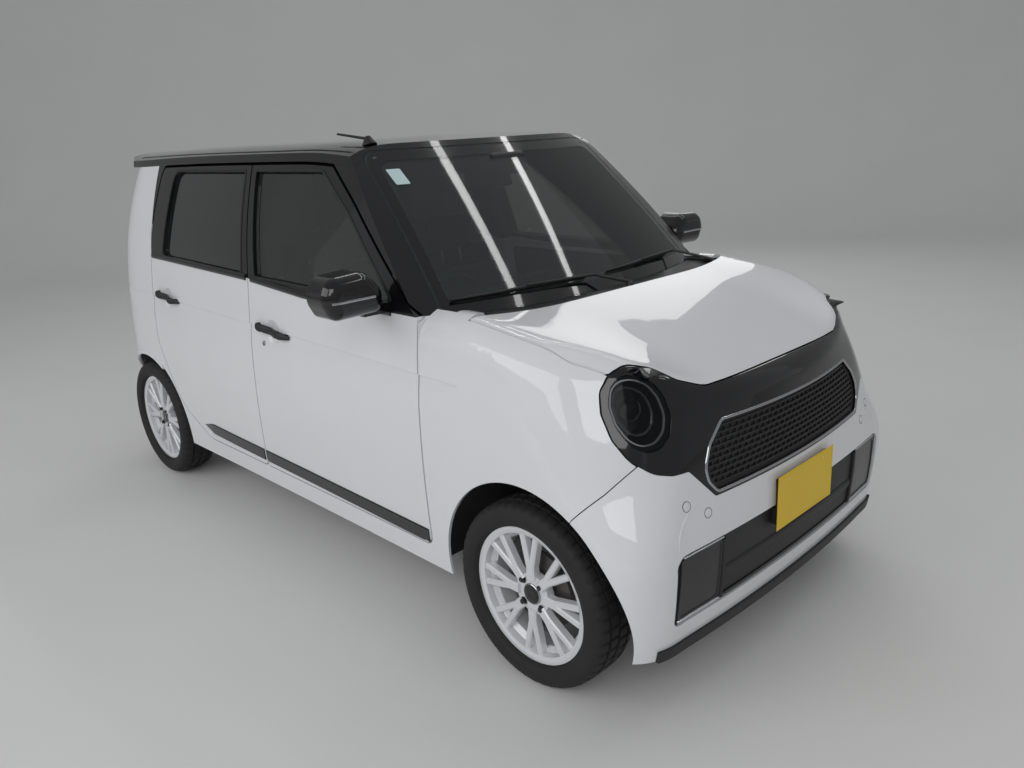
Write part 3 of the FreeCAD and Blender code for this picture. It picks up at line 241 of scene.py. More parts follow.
# The window line in side view, as slope and level of three straight parts, in metres
BELT_FRONT = (0.0, 1.036)
BELT_MIDDLE = (-0.0644, 1.0477)
BELT_REAR = (-0.0294, 1.0555)
ROOF_LINE_Z = 1.484
# Where the black above the window line ends: on the quarter panel, and nowhere on the doors
SIDE_BLACK_END_X = -1.106
DOOR_BLACK_END_X = -2.0


def belt_z(x):
    """The height of the window line at x, in metres."""
    front, middle, rear = [slope * x + level for slope, level in (BELT_FRONT, BELT_MIDDLE, BELT_REAR)]
    return max(front, min(middle, rear))


def two_tone(name, rear_x):
    """White paint, gloss black above the window line ahead of rear_x, and along the roof's edge."""
    material, tree, bsdf = shader_nodes(name)
    place = tree.nodes.new("ShaderNodeTexCoord")
    parts = tree.nodes.new("ShaderNodeSeparateXYZ")
    tree.links.new(place.outputs["Object"], parts.inputs["Vector"])
    x, z = parts.outputs["X"], parts.outputs["Z"]
    over = [add_line(tree, x, z, *line) for line in (BELT_FRONT, BELT_MIDDLE, BELT_REAR)]
    belt = join(tree, "MINIMUM", over[0], join(tree, "MAXIMUM", over[1], over[2]))
    ahead = add_line(tree, z, x, 0.0, rear_x)
    roof = add_line(tree, x, z, 0.0, ROOF_LINE_Z)
    black = join(tree, "MAXIMUM", join(tree, "MINIMUM", belt, ahead), roof)
    white = wandering(tree, add_noise(tree, PATCH_SCALE, 4), WHITE, 0.02)
    tree.links.new(add_mix(tree, black, white, BLACK), bsdf.inputs["Base Color"])
    set_sockets(bsdf, {"Specular IOR Level": 0.1, "Coat Weight": 1.0, "Coat Roughness": COAT_ROUGHNESS})
    fine = add_noise(tree, 900, 3)
    tree.links.new(add_range(tree, fine, 0.28, 0.36), bsdf.inputs["Roughness"])
    add_bump(tree, bsdf, fine, 0.000006)
    return material


materials["door_paint"] = two_tone("door_paint", DOOR_BLACK_END_X)
materials["side_paint"] = two_tone("side_paint", SIDE_BLACK_END_X)

slots = {row["node"]: row["material_slot"] for row in frame["record"]["subparts"]}
slots["body_sides"] = "side_paint"
for kind in ("front", "rear"):
    for hand, side in HANDS:
        slots[f"door_{kind}_{hand}"] = "door_paint"
for name, node in nodes.items():
    node.data.materials.clear()
    node.data.materials.append(materials[slots[name]])

# Building pieces

SHARP_DEGREES = 38


def dress(mesh, material, smooth=True):
    mesh.materials.append(material)
    for polygon in mesh.polygons:
        polygon.use_smooth = smooth


def add_object(name, data):
    obj = bpy.data.objects.new(name, data)
    bpy.context.scene.collection.objects.link(obj)
    return obj


def piece(name, verts, faces, material, body="car_body", smooth=True):
    """A mesh object from points in metres, riding on a body."""
    mesh = bpy.data.meshes.new(name)
    mesh.from_pydata([tuple(v) for v in verts], [], faces)
    bm = bmesh.new()
    bm.from_mesh(mesh)
    bmesh.ops.remove_doubles(bm, verts=bm.verts, dist=1e-6)
    bmesh.ops.recalc_face_normals(bm, faces=bm.faces)
    bm.to_mesh(mesh)
    bm.free()
    dress(mesh, materials[material], smooth)
    obj = add_object(name, mesh)
    if smooth:
        mesh.set_sharp_from_angle(angle=math.radians(SHARP_DEGREES))
    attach(obj, body)
    return obj


def grid(rows, ring, rows_closed=False, ring_closed=True, first=0):
    """Faces between neighbouring rows of ring points each, numbered from first."""
    faces = []
    for i in range(rows if rows_closed else rows - 1):
        j = (i + 1) % rows
        for k in range(ring if ring_closed else ring - 1):
            m = (k + 1) % ring
            corners = (i * ring + k, i * ring + m, j * ring + m, j * ring + k)
            faces.append(tuple(first + n for n in corners))
    return faces


def tree_of(*names):
    """A search tree of CAD nodes' faces, to land points on."""
    verts, faces = [], []
    for name in names:
        mesh = nodes[name].data
        first = len(verts)
        verts += [v.co.copy() for v in mesh.vertices]
        faces += [[first + i for i in p.vertices] for p in mesh.polygons]
    return BVHTree.FromPolygons(verts, faces)


def land(tree, start, direction):
    """Where a ray meets the CAD surface, in metres, and the surface's outward direction there."""
    direction = Vector(direction).normalized()
    place, normal, _, _ = tree.ray_cast(Vector(start), direction)
    if place is None:
        return None, None
    if normal.dot(direction) > 0:
        normal = -normal
    return place, normal


def rounded(corners, steps=6):
    """Points round an outline of (a, b, radius) corners, in millimetres, with its corners rounded."""
    points = []
    count = len(corners)
    for i in range(count):
        a, b, r = corners[i]
        here = Vector((a, b))
        back = Vector(corners[i - 1][:2]) - here
        ahead = Vector(corners[(i + 1) % count][:2]) - here
        if r <= 0:
            points.append(here)
            continue
        half = back.angle(ahead) / 2
        cut = min(r / math.tan(half), 0.48 * back.length, 0.48 * ahead.length)
        first = here + back.normalized() * cut
        last = here + ahead.normalized() * cut
        for k in range(steps + 1):
            t = k / steps
            points.append(first * (1 - t) ** 2 + here * 2 * t * (1 - t) + last * t * t)
    return points


def refine(points, spacing, closed=True):
    """The same line with points at most spacing apart."""
    result = []
    count = len(points)
    for i in range(count if closed else count - 1):
        p, q = points[i], points[(i + 1) % count]
        steps = max(1, math.ceil((q - p).length / spacing))
        result += [p.lerp(q, k / steps) for k in range(steps)]
    if not closed:
        result.append(points[-1])
    return result


def oval(a, b, steps):
    """Points of an ellipse with half axes a and b."""
    angles = [2 * math.pi * k / steps for k in range(steps)]
    return [(a * math.cos(t), b * math.sin(t)) for t in angles]


def half_round(width, height, sunk=1.0, steps=6):
    """A moulding's cross-section in millimetres, as (across, out)."""
    arc = [math.pi * k / steps for k in range(steps + 1)]
    top = [(width / 2 * math.cos(a), height * math.sin(a) ** 0.8 if 0 < a < math.pi else 0) for a in arc]
    return top + [(-width / 2, -sunk), (width / 2, -sunk)]


def flat_band(width, height, sunk=1.0):
    """A flat moulding with eased edges, as (across, out)."""
    w = width / 2
    e = min(height * 0.6, w * 0.5)
    return [(w, -sunk), (w, height - e), (w - e, height), (e - w, height), (-w, height - e), (-w, -sunk)]


def sweep(name, points, outs, profile, material, body="car_body", closed=False, taper=None):
    """A cross-section carried along points, standing off in the directions outs."""
    verts = []
    count, ring = len(points), len(profile)
    for i in range(count):
        before = points[i - 1] if closed or i else points[i]
        after = points[(i + 1) % count] if closed or i < count - 1 else points[i]
        along = (after - before).normalized()
        out = outs[i].normalized()
        across = along.cross(out).normalized()
        out = across.cross(along).normalized()
        size = taper(i / (count - 1)) if taper else 1.0
        for a, h in profile:
            verts.append(points[i] + across * (a * MM * size) + out * (h * MM * (size if h > 0 else 1)))
    faces = grid(count, ring, rows_closed=closed)
    if not closed:
        faces.append(tuple(range(ring)))
        faces.append(tuple((count - 1) * ring + k for k in range(ring)))
    return piece(name, verts, faces, material, body)


X, Y, Z = 0, 1, 2


def view_along(axis, level, way):
    """A view that outlines are drawn in, along an axis from a level in metres.

    It is a function from (a, b) in millimetres to a point, and the direction to look in.
    """

    def start(a, b):
        place = [a * MM, b * MM]
        place.insert(axis, level)
        return Vector(place)

    direction = Vector((0, 0, 0))
    direction[axis] = way
    return start, direction


front_view = view_along(X, 2.2, -1)
back_view = view_along(X, -2.2, 1)
top_view = view_along(Z, 2.0, -1)


def lay(tree, view, points):
    """Points of an outline landed on the CAD surface, with the surface's directions."""
    start, direction = view
    places, outs = [], []
    for p in points:
        place, normal = land(tree, start(p[0], p[1]), direction)
        if place is None:
            continue
        places.append(place)
        outs.append(normal)
    return places, outs


def smooth_outs(outs, closed):
    """Directions evened along a line, so that facets don't show."""
    result = outs
    for _ in range(4):
        count = len(result)
        fresh = []
        for i in range(count):
            a = result[i - 1] if closed or i else result[i]
            b = result[(i + 1) % count] if closed or i < count - 1 else result[i]
            fresh.append((a + result[i] * 2 + b).normalized())
        result = fresh
    return result


def trim_line(
    name, tree, view, points, profile, material, body="car_body", closed=False, spacing=12, taper=None
):
    """A moulding that lies on the CAD surface along an outline."""
    line = refine([Vector(p[:2]) for p in points], spacing, closed)
    places, outs = lay(tree, view, line)
    return sweep(name, places, smooth_outs(outs, closed), profile, material, body, closed, taper)


def panel(name, tree, view, loops, material, body="car_body"):
    """Loops of equal length, as (points, lift in mm), joined on the CAD surface; the last is filled."""
    start, direction = view
    verts = []
    count = len(loops[0][0])
    for points, lift in loops:
        for p in points:
            place, _ = land(tree, start(p[0], p[1]), direction)
            verts.append(place - direction * (lift * MM))
    faces = grid(len(loops), count)
    last = (len(loops) - 1) * count
    verts.append(sum((verts[last + i] for i in range(count)), Vector()) / count)
    faces += [(last + i, last + (i + 1) % count, len(verts) - 1) for i in range(count)]
    return piece(name, verts, faces, material, body)


def scaled(points, factor):
    centre = sum(points, Vector((0, 0))) / len(points)
    return [centre + (p - centre) * factor for p in points]


def stacked(outline, steps):
    """Loops for a panel from (share of the outline, lift in mm) steps."""
    return [(scaled(outline, share), lift) for share, lift in steps]


def turned(profile, name, centre, axis, material, body="car_body", steps=48, smooth=True):
    """A profile of (along, radius) in millimetres turned round an axis through centre, in metres."""
    axis = Vector(axis).normalized()
    side = axis.orthogonal().normalized()
    up = axis.cross(side)
    verts = []
    for i in range(steps):
        a = 2 * math.pi * i / steps
        spoke = side * math.cos(a) + up * math.sin(a)
        for along, radius in profile:
            verts.append(centre + axis * (along * MM) + spoke * (radius * MM))
    faces = grid(steps, len(profile), rows_closed=True, ring_closed=False)
    return piece(name, verts, faces, material, body, smooth)


# Tyres with tread and moulded side walls

TYRE_RADIUS = 281.0
WHEEL_Y = 652.5
AXLES = (("front", 1237.5), ("rear", -1282.5))
# Half of the tyre's section, as (across, radius, kind) from the bead to the middle of the tread
WALL = (
    (-56.5, 191.2, "wall"),
    (-57.0, 207.5, "wall"),
    (-63.0, 211.0, "wall"),
    (-70.0, 213.5, "wall"),
    (-75.0, 216.0, "step"),
    (-76.2, 217.5, "step"),
    (-80.5, 229.0, "wall"),
    (-82.2, 238.0, "wall"),
    (-81.5, 248.0, "wall"),
    (-80.0, 257.0, "rib"),
    (-76.0, 265.0, "rib"),
    (-71.0, 271.5, "shoulder"),
    (-64.0, 275.5, "shoulder"),
    (-56.0, 278.4, "block"),
    (-42.0, 280.2, "block"),
    (-41.0, 273.2, "groove"),
    (-33.0, 273.4, "groove"),
    (-32.0, 280.6, "block"),
    (-21.0, 280.9, "block"),
    (-6.0, 281.0, "block"),
    (-5.0, 273.6, "groove"),
)
# The tyre's inner face, as (across, radius) from the bead to the middle
LINING = ((46.0, 191.2), (46.5, 210.0), (60.0, 222.0), (70.0, 240.0), (64.0, 262.0), (45.0, 268.0))
TREAD_STEPS = 288
TREAD_PITCH = 6


def tyre(place, centre):
    section = list(WALL) + [(-a, r, kind) for a, r, kind in WALL[::-1]]
    section += [(a, r, "inside") for a, r in LINING]
    section += [(-a, r, "inside") for a, r in LINING[::-1]]
    verts = []
    for i in range(TREAD_STEPS):
        phase = i % TREAD_PITCH
        for across, radius, kind in section:
            depth = 0.0
            if kind == "block" and phase == (0 if across < 0 else 3):
                depth = 5.5
            if kind == "shoulder" and phase in ((0, 1) if across < 0 else (3, 4)):
                depth = 3.5
            if kind == "rib" and i % 3 == 0:
                depth = 0.8
            angle = 2 * math.pi * (i + across * 0.01 * (1 if kind != "wall" else 0)) / TREAD_STEPS
            r = (radius - depth) * MM
            verts.append(centre + Vector((r * math.cos(angle), across * MM, r * math.sin(angle))))
    faces = grid(TREAD_STEPS, len(section), rows_closed=True)
    obj = piece("tyre_detail_" + place, verts, faces, "tyre", "wheel_" + place)
    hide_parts("tyre_" + place)


# Wheel fittings, as (out from the wheel's middle, radius) profiles

LUG_CIRCLE_RADIUS = 50.0
VALVE_RADIUS = 196.0
VALVE_DEGREES = 11
HUB_CAP = ((46.2, 0.0), (51.0, 0.0), (52.4, 9.0), (52.0, 24.0), (50.5, 27.5), (46.2, 28.5), (46.2, 0.0))
HUB_RING = ((46.2, 28.6), (50.5, 28.6), (51.0, 30.0), (49.5, 32.0), (46.2, 32.5), (46.2, 28.6))
NUT = ((46.2, 0.0), (55.0, 0.0), (57.5, 5.0), (56.5, 8.4), (48.0, 9.2), (46.2, 11.0), (46.2, 0.0))
NUT_WELL = ((48.3, 0.0), (48.3, 12.5), (48.9, 12.0), (48.7, 10.5), (48.7, 0.0))
VALVE = ((16.0, 0.0), (16.0, 4.6), (32.0, 4.2), (33.0, 3.2), (42.0, 3.0), (43.0, 2.0), (43.0, 0.0))


def round_wheel(centre, degrees, radius):
    """A point round a wheel's centre, radius in millimetres."""
    a = math.radians(degrees)
    return centre + Vector((math.cos(a), 0, math.sin(a))) * (radius * MM)


def wheel_fittings(place, centre, side):
    out = Vector((0, side, 0))
    body = "wheel_" + place
    turned(HUB_CAP, "hub_cap_" + place, centre, out, "gloss_black", body)
    turned(HUB_RING, "hub_ring_" + place, centre, out, "dark_chrome", body)
    for i in range(4):
        spot = round_wheel(centre, 45 + 90 * i, LUG_CIRCLE_RADIUS)
        turned(NUT, f"wheel_nut_{place}_{i}", spot, out, "lamp_bowl", body, steps=6, smooth=False)
        turned(NUT_WELL, f"nut_well_{place}_{i}", spot, out, "soft_rubber", body, steps=28)
    spot = round_wheel(centre, VALVE_DEGREES, VALVE_RADIUS)
    turned(VALVE, "valve_" + place, spot, out, "soft_rubber", body, steps=12)


for axle, x in AXLES:
    for hand, side in HANDS:
        centre = Vector((x, side * WHEEL_Y, TYRE_RADIUS)) * MM
        tyre(f"{axle}_{hand}", centre)
        wheel_fittings(f"{axle}_{hand}", centre, side)

# Side trim

FRONT_GLASS = ((700, 1062, 20), (430, 1310, 700), (232, 1448, 50), (-222, 1448, 12), (-165, 1072, 15))
REAR_GLASS = ((-270, 1072, 15), (-306, 1448, 12), (-925, 1448, 60), (-985, 1096, 30))
HANDLE_STEPS = 24
HANDLE_FEET = (2, 22)
HANDLE_RISE = 0.017
BELT_LIFT = 2
KEY_HOLE = ((0.0, 0.0), (1.5, 0.0), (1.5, 2.0), (2.6, 4.0), (2.8, 8.6), (1.8, 9.6), (0.0, 10.0))
FOOT = ((0.0, 0.0), (0.0, 11.0), (-12.0, 12.0), (-14.0, 0.0))


def full_in_middle(t):
    return 0.45 + 0.55 * min(1.0, math.sin(math.pi * t) * 1.8)


def pointed(t):
    """Full width, with a point at the far end."""
    return 1.0 if t < 0.82 else max(0.06, 1 - ((t - 0.82) / 0.18) ** 1.5)


def handle(name, tree, view, body, start, end):
    """A bar handle: tapered at both ends, bowed clear of the door between two feet."""
    first, last = Vector(start), Vector(end)
    line = [first.lerp(last, k / HANDLE_STEPS) for k in range(HANDLE_STEPS + 1)]
    places, outs = lay(tree, view, line)
    even = smooth_outs(outs, False)
    points = []
    for i, (p, o) in enumerate(zip(places, even)):
        rise = HANDLE_RISE * min(1.0, math.sin(math.pi * i / HANDLE_STEPS) * 2.2)
        points.append(p + o * (0.004 + rise))
    sweep(name, points, even, oval(15.0, 8.0, 14), "black_plastic", body, taper=full_in_middle)
    for i, k in enumerate(HANDLE_FEET):
        spot = places[k] + outs[k] * 0.010
        turned(FOOT, f"{name}_foot_{i}", spot, outs[k], "black_plastic", body, steps=20)


def belt_line(start, end):
    """Just over the window line, between two places along the car."""
    return [(x, belt_z(x * MM) / MM + BELT_LIFT) for x in range(start, end, -20)]


def glass_rim(corners):
    return scaled(rounded(corners), 1.012)


# The last cross-section draws a painted highlight: a thin bright bead along the lower edge of the black
# stripes
BELT, SEAL, STRIPE, HIGHLIGHT_BEAD = half_round(26, 7), half_round(11, 3.5), flat_band(46, 4.5), half_round(4, 3)
# part, door, line, cross-section, material, closed, spacing, taper
DOOR_TRIM = (
    ("belt", "front", belt_line(690, -196), BELT, "gloss_black", False, 12, None),
    ("belt", "rear", belt_line(-230, -1091), BELT, "gloss_black", False, 12, None),
    ("window_seal", "front", glass_rim(FRONT_GLASS), SEAL, "soft_rubber", True, 12, None),
    ("window_seal", "rear", glass_rim(REAR_GLASS), SEAL, "soft_rubber", True, 12, None),
    ("stripe", "front", ((812, 334), (400, 340), (-216, 350)), STRIPE, "gloss_black", False, 30, None),
    ("stripe", "rear", ((-233, 350), (-500, 355), (-760, 362)), STRIPE, "gloss_black", False, 25, pointed),
    # Painted highlight: bright chrome beads along the stripes' lower edges, where the sill's recess edge
    # catches the light
    ("sill_line", "front", ((812, 308), (400, 314), (-216, 324)), HIGHLIGHT_BEAD, "bright_trim", False, 30, None),
    ("sill_line", "rear", ((-233, 324), (-500, 329), (-700, 335)), HIGHLIGHT_BEAD, "bright_trim", False, 25, None),
)
HANDLES = (("front", (75, 871), (-155, 896)), ("rear", (-842, 904), (-1050, 930)))
for hand, side in HANDS:
    view = view_along(Y, side * 1.3, -side)
    trees = {kind: tree_of(f"door_{kind}_{hand}", f"glass_{kind}_{hand}") for kind in ("front", "rear")}
    for part, kind, line, profile, material, closed, gap, taper in DOOR_TRIM:
        name, body = f"{part}_{kind}_{hand}", f"door_{kind}_{hand}"
        trim_line(name, trees[kind], view, line, profile, material, body, closed, gap, taper)
    for kind, start, end in HANDLES:
        handle(f"handle_{kind}_{hand}", trees[kind], view, f"door_{kind}_{hand}", start, end)
    if hand == "right":
        spot, out = land(trees["front"], view[0](-112, 828), view[1])
        turned(KEY_HOLE, "key_hole", spot, out, "dark_chrome", "door_front_right", steps=24)

# Mirrors: the glass, and the turn lamp's line across the housing

MIRROR_GLASS = ((-772, 1068, 30), (-768, 1150, 40), (-905, 1154, 50), (-922, 1106, 40), (-900, 1064, 30))
PANE_STEPS = ((1.0, -0.5), (1.0, 1.5), (0.5, 1.5))
MIRROR_LINE_Z = 1104
behind_mirror = view_along(X, 0.3, 1)
for hand, flip in FLIPS:
    tree = tree_of("mirror_" + hand)
    body = "door_front_" + hand
    outline = refine(rounded([(y * flip, z, r) for y, z, r in MIRROR_GLASS], 5), 12)
    panel("mirror_pane_" + hand, tree, behind_mirror, stacked(outline, PANE_STEPS), "mirror_glass", body)
    rim = scaled(outline, 1.03)
    bead = half_round(8, 4)
    trim_line("mirror_rim_" + hand, tree, behind_mirror, rim, bead, "gloss_black", body, closed=True)
    line = [(y * flip, MIRROR_LINE_Z) for y in range(-925, -779, 12)]
    trim_line("mirror_line_" + hand, tree, front_view, line, half_round(8, 3), "dark_chrome", body)

# Front: grille, lamps, sensors, bezels

GRILLE_RIGHT = ((-350, 795, 30), (-410, 742, 60), (-436, 690, 60), (-430, 650, 40), (-402, 617, 24))
GRILLE = GRILLE_RIGHT + tuple((-y, z, r) for y, z, r in GRILLE_RIGHT[::-1])
LENS = (
    (-552, 942, 60),
    (-520, 925, 60),
    (-502, 885, 60),
    (-502, 835, 60),
    (-522, 790, 60),
    (-557, 760, 60),
    (-592, 756, 60),
    (-616, 776, 60),
    (-626, 820, 60),
    (-621, 870, 60),
    (-604, 915, 60),
    (-582, 938, 60),
)
face_tree = tree_of(
    "grille_surround", "grille", "headlamp_lenses", "front_bumper", "lower_grille", "bonnet", "wings"
)
outline = rounded(GRILLE, 8)
rim = scaled(outline, 1.012)
trim_line("grille_frame", face_tree, front_view, rim, half_round(9, 4), "dark_chrome", closed=True)


def inside(point, outline):
    """Whether a point lies inside a closed outline."""
    hit = False
    count = len(outline)
    for i in range(count):
        a, b = outline[i], outline[(i + 1) % count]
        if (a[1] > point[1]) != (b[1] > point[1]):
            if point[0] < a[0] + (point[1] - a[1]) / (b[1] - a[1]) * (b[0] - a[0]):
                hit = not hit
    return hit


GRILLE_LOW_Z = 617.0
GRILLE_ROWS = 11
GRILLE_ROW_PITCH = 16.0
UPRIGHT_PITCH = 27.0
UPRIGHT_REACH = 6.0
UPRIGHT_STEPS = 16
UPRIGHT = ((1.6, -6.0), (1.6, 0.2), (0.8, 1.0), (-0.8, 1.0), (-1.6, 0.2), (-1.6, -6.0))


def grille_uprights(name, tree, outline):
    """Short uprights across the grille's slots, set half a pitch apart from row to row."""
    ring = len(UPRIGHT)
    verts, faces = [], []
    for row in range(GRILLE_ROWS):
        z = GRILLE_LOW_Z + GRILLE_ROW_PITCH * (row + 0.5)
        shift = UPRIGHT_PITCH / 2 if row % 2 else 0
        for step in range(-UPRIGHT_STEPS, UPRIGHT_STEPS + 1):
            y = step * UPRIGHT_PITCH + shift
            ends = [(y, z - UPRIGHT_REACH), (y, z + UPRIGHT_REACH)]
            if not all(inside(end, outline) for end in ends):
                continue
            points, _ = lay(tree, front_view, ends)
            first = len(verts)
            for p in points:
                verts += [p + Vector((h * MM, a * MM, 0)) for a, h in UPRIGHT]
            faces += grid(2, ring, first=first)
            faces += [tuple(range(start, start + ring)) for start in (first, first + ring)]
    return piece(name, verts, faces, "black_plastic", smooth=False)


grille_uprights("grille_uprights", tree_of("grille"), scaled(outline, 0.975))

lower_tree = tree_of("lower_grille")
# name, height, cross-section, material
INTAKE_LINES = (
    ("intake_fold", 372, half_round(34, 5), "black_plastic"),
    ("intake_edge", 296, half_round(16, 6), "gloss_black"),
)
for name, z, profile, material in INTAKE_LINES:
    trim_line(name, lower_tree, front_view, [(-380, z), (380, z)], profile, material)

def rounded_line(points):
    """A smooth line through the middle of an open outline's runs."""
    line = [Vector(p) for p in points]
    for _ in range(3):
        halves = []
        for p, q in zip(line, line[1:]):
            halves += [p.lerp(q, 0.25), p.lerp(q, 0.75)]
        line = [line[0]] + halves + [line[-1]]
    return line


def fading(t):
    """Full in the middle and thin at both ends."""
    return max(0.12, math.sin(math.pi * t) ** 0.7)


# The bumper's soft crease and its sensors, as (y, z)
BUMPER_CREASE = ((-578, 500), (-572, 540), (-540, 580), (-490, 606))
SENSOR_SPOTS = ((-525, 609), (-454, 572))
SENSOR = (
    (-1.0, 13.0),
    (0.6, 12.6),
    (0.9, 11.6),
    (0.3, 10.8),
    (0.3, 9.6),
    (1.5, 9.0),
    (2.0, 5.0),
    (2.1, 0.0),
)
SENSOR_SEAM = ((-1.0, 13.0), (0.5, 13.1), (0.5, 14.3), (-1.0, 14.4), (-1.0, 13.0))
# Bezels at the intake's ends: outline and steps, then the lines along them as name, ends, section, material
BEZEL = ((-398, 482, 12), (-572, 482, 22), (-578, 300, 18), (-398, 300, 12))
BEZEL_STEPS = ((1.0, 0.4), (0.985, 5), (0.93, 5), (0.9, 2), (0.6, 2), (0.3, 2))
BEZEL_LINES = (
    ("top", ((-396, 483), (-562, 483)), half_round(6, 8), "bright_trim"),
    ("foot", ((-396, 297), (-574, 297)), half_round(9, 8), "bright_trim"),
    ("bar", ((-392, 478), (-390, 300)), flat_band(14, 9), "black_plastic"),
)
for hand, flip in FLIPS:
    outline = refine(rounded([(a * flip, b, r) for a, b, r in BEZEL], 4), 14)
    panel("bezel_" + hand, lower_tree, front_view, stacked(outline, BEZEL_STEPS), "lamp_bowl")
    for part, ends, profile, material in BEZEL_LINES:
        line = [(a * flip, b) for a, b in ends]
        name = f"bezel_{part}_{hand}"
        trim_line(name, lower_tree, front_view, line, profile, material, spacing=14)
    line = rounded_line([(y * flip, z) for y, z in BUMPER_CREASE])
    name = "bumper_crease_" + hand
    trim_line(name, face_tree, front_view, line, half_round(9, 2.2), "body_paint", taper=fading)
    for i, (y, z) in enumerate(SENSOR_SPOTS):
        spot, out = land(face_tree, front_view[0](y * flip, z), front_view[1])
        turned(SENSOR, f"sensor_{hand}_{i}", spot, out, "body_paint", steps=28)
        turned(SENSOR_SEAM, f"sensor_seam_{hand}_{i}", spot, out, "soft_rubber", steps=28)

# Lamp innards behind the lenses

lens_tree = tree_of("headlamp_lenses")
LAMP_MIDDLE = (-565, 850)
EYE_RING = ((-20.0, 27.0), (0.0, 30.0), (3.0, 29.0), (2.0, 26.5), (-8.0, 25.0), (-20.0, 27.0))
EYE = ((-12.0, 24.0), (-4.0, 24.0), (2.0, 18.0), (5.5, 9.0), (6.5, 0.0))
# name, share of the lens's outline, depth behind it, cross-section, material
LAMP_RINGS = (
    ("light_ring_", 0.86, 10, half_round(5, 3, 3), "light_guide"),
    ("lamp_skirt_", 0.62, 28, flat_band(8, 5, 3), "dark_chrome"),
)


def behind(point, depth):
    """A point a depth in millimetres behind the lens."""
    place, _ = land(lens_tree, front_view[0](*point), front_view[1])
    return place - Vector((depth * MM, 0, 0))


for hand, flip in FLIPS:
    out = Vector((1, -0.35 * flip, 0.1))
    lens = [Vector((p.x * flip, p.y)) for p in rounded(LENS, 5)]
    for name, share, depth, profile, material in LAMP_RINGS:
        line = [behind(p, depth) for p in refine(scaled(lens, share), 8)]
        sweep(name + hand, line, [out] * len(line), profile, material, closed=True)
    middle = behind((LAMP_MIDDLE[0] * flip, LAMP_MIDDLE[1]), 36)
    turned(EYE_RING, "lamp_eye_ring_" + hand, middle, out, "dark_chrome")
    turned(EYE, "lamp_eye_" + hand, middle, out, "dark_glass")

# Number plate: a raised rim and two bolts

PLATE_FACE_X = 1697.5
PLATE_RIM = ((-158, 424, 8), (158, 424, 8), (158, 576, 8), (-158, 576, 8))
BOLT_SPOTS = ((-105, 560), (105, 560))
BOLT = ((-8.6, 3.3), (-0.8, 3.3), (-0.8, 9.0), (-0.2, 9.0), (-0.6, 0.0))
plate_tree = tree_of("front_plate")
bead = half_round(4, 1.2, 0.5)
trim_line("plate_rim", plate_tree, front_view, rounded(PLATE_RIM, 4), bead, "plate", closed=True)
for i, (y, z) in enumerate(BOLT_SPOTS):
    spot = Vector((PLATE_FACE_X, y, z)) * MM
    turned(BOLT, f"plate_bolt_{i}", spot, (1, 0, 0), "bright_trim", steps=20)

# Windscreen: printed border, camera case and sticker

screen_tree = tree_of("windscreen")
SCREEN = ((-632, 1022, 30), (-548, 1506, 60), (548, 1506, 60), (632, 1022, 30))
SCREEN_MIDDLE_Z = 1264
BORDER_SHARE_Y, BORDER_SHARE_Z = 0.935, 0.86


def border(name, tree, view, outer, inner, lift, material):
    """A flat printed band between two outlines on the CAD surface."""
    start, direction = view
    verts = []
    for points, height in ((outer, lift), (inner, lift), (inner, lift - 0.4), (outer, lift - 0.4)):
        for p in points:
            place, _ = land(tree, start(p[0], p[1]), direction)
            verts.append(place - direction * (height * MM))
    return piece(name, verts, grid(4, len(outer), rows_closed=True), material)


def ease_edges(obj, round_mm, segments=3):
    bevel = obj.modifiers.new("edges", "BEVEL")
    bevel.width = round_mm * MM
    bevel.segments = segments
    return bevel


outline = refine(rounded(SCREEN, 5), 40)
inner = []
for p in outline:
    z = SCREEN_MIDDLE_Z + (p.y - SCREEN_MIDDLE_Z) * BORDER_SHARE_Z
    inner.append(Vector((p.x * BORDER_SHARE_Y, z)))
border("screen_border", screen_tree, front_view, scaled(outline, 0.985), inner, 0.5, "gloss_black")

BOX_FACES = [(0, 1, 2, 3), (7, 6, 5, 4), (0, 4, 5, 1), (1, 5, 6, 2), (2, 6, 7, 3), (3, 7, 4, 0)]
# Corners of the camera case in side view: behind the glass, height and half width, in metres
CAMERA_CASE = ((-0.020, 1.470, 0.085), (-0.075, 1.478, 0.075), (-0.070, 1.418, 0.060), (0.0, 1.395, 0.070))
spot, _ = land(screen_tree, front_view[0](0, 1440), front_view[1])
verts = [Vector((spot.x + x, y * half, z)) for y in (-1, 1) for x, z, half in CAMERA_CASE]
ease_edges(piece("camera_case", verts, BOX_FACES, "cabin_plastic", smooth=False), 8)

STICKER = ((-505, 1398, 4), (-458, 1398, 4), (-458, 1446, 4), (-505, 1446, 4))
STICKER_STEPS = ((1.0, -1.0), (1.0, 0.9), (0.5, 0.9))
panel("sticker", screen_tree, front_view, stacked(rounded(STICKER, 3), STICKER_STEPS), "sticker")

# Shaped blocks and padded pieces


def block(name, centre, size, round_mm, material, body="car_body", taper=(1.0, 1.0), tilt=0.0):
    """A box in millimetres with rounded edges, narrower at its top, leaned about Y by tilt degrees."""
    sx, sy, sz = (v / 2 for v in size)
    verts = []
    lean = Matrix.Rotation(math.radians(tilt), 3, "Y")
    for z, (tx, ty) in ((-sz, (1.0, 1.0)), (sz, taper)):
        for x, y in ((-sx, -sy), (-sx, sy), (sx, sy), (sx, -sy)):
            verts.append((Vector(centre) + lean @ Vector((x * tx, y * ty, z))) * MM)
    obj = piece(name, verts, BOX_FACES, material, body)
    ease_edges(obj, round_mm).harden_normals = True


SEAM_WIDTH = 7.0


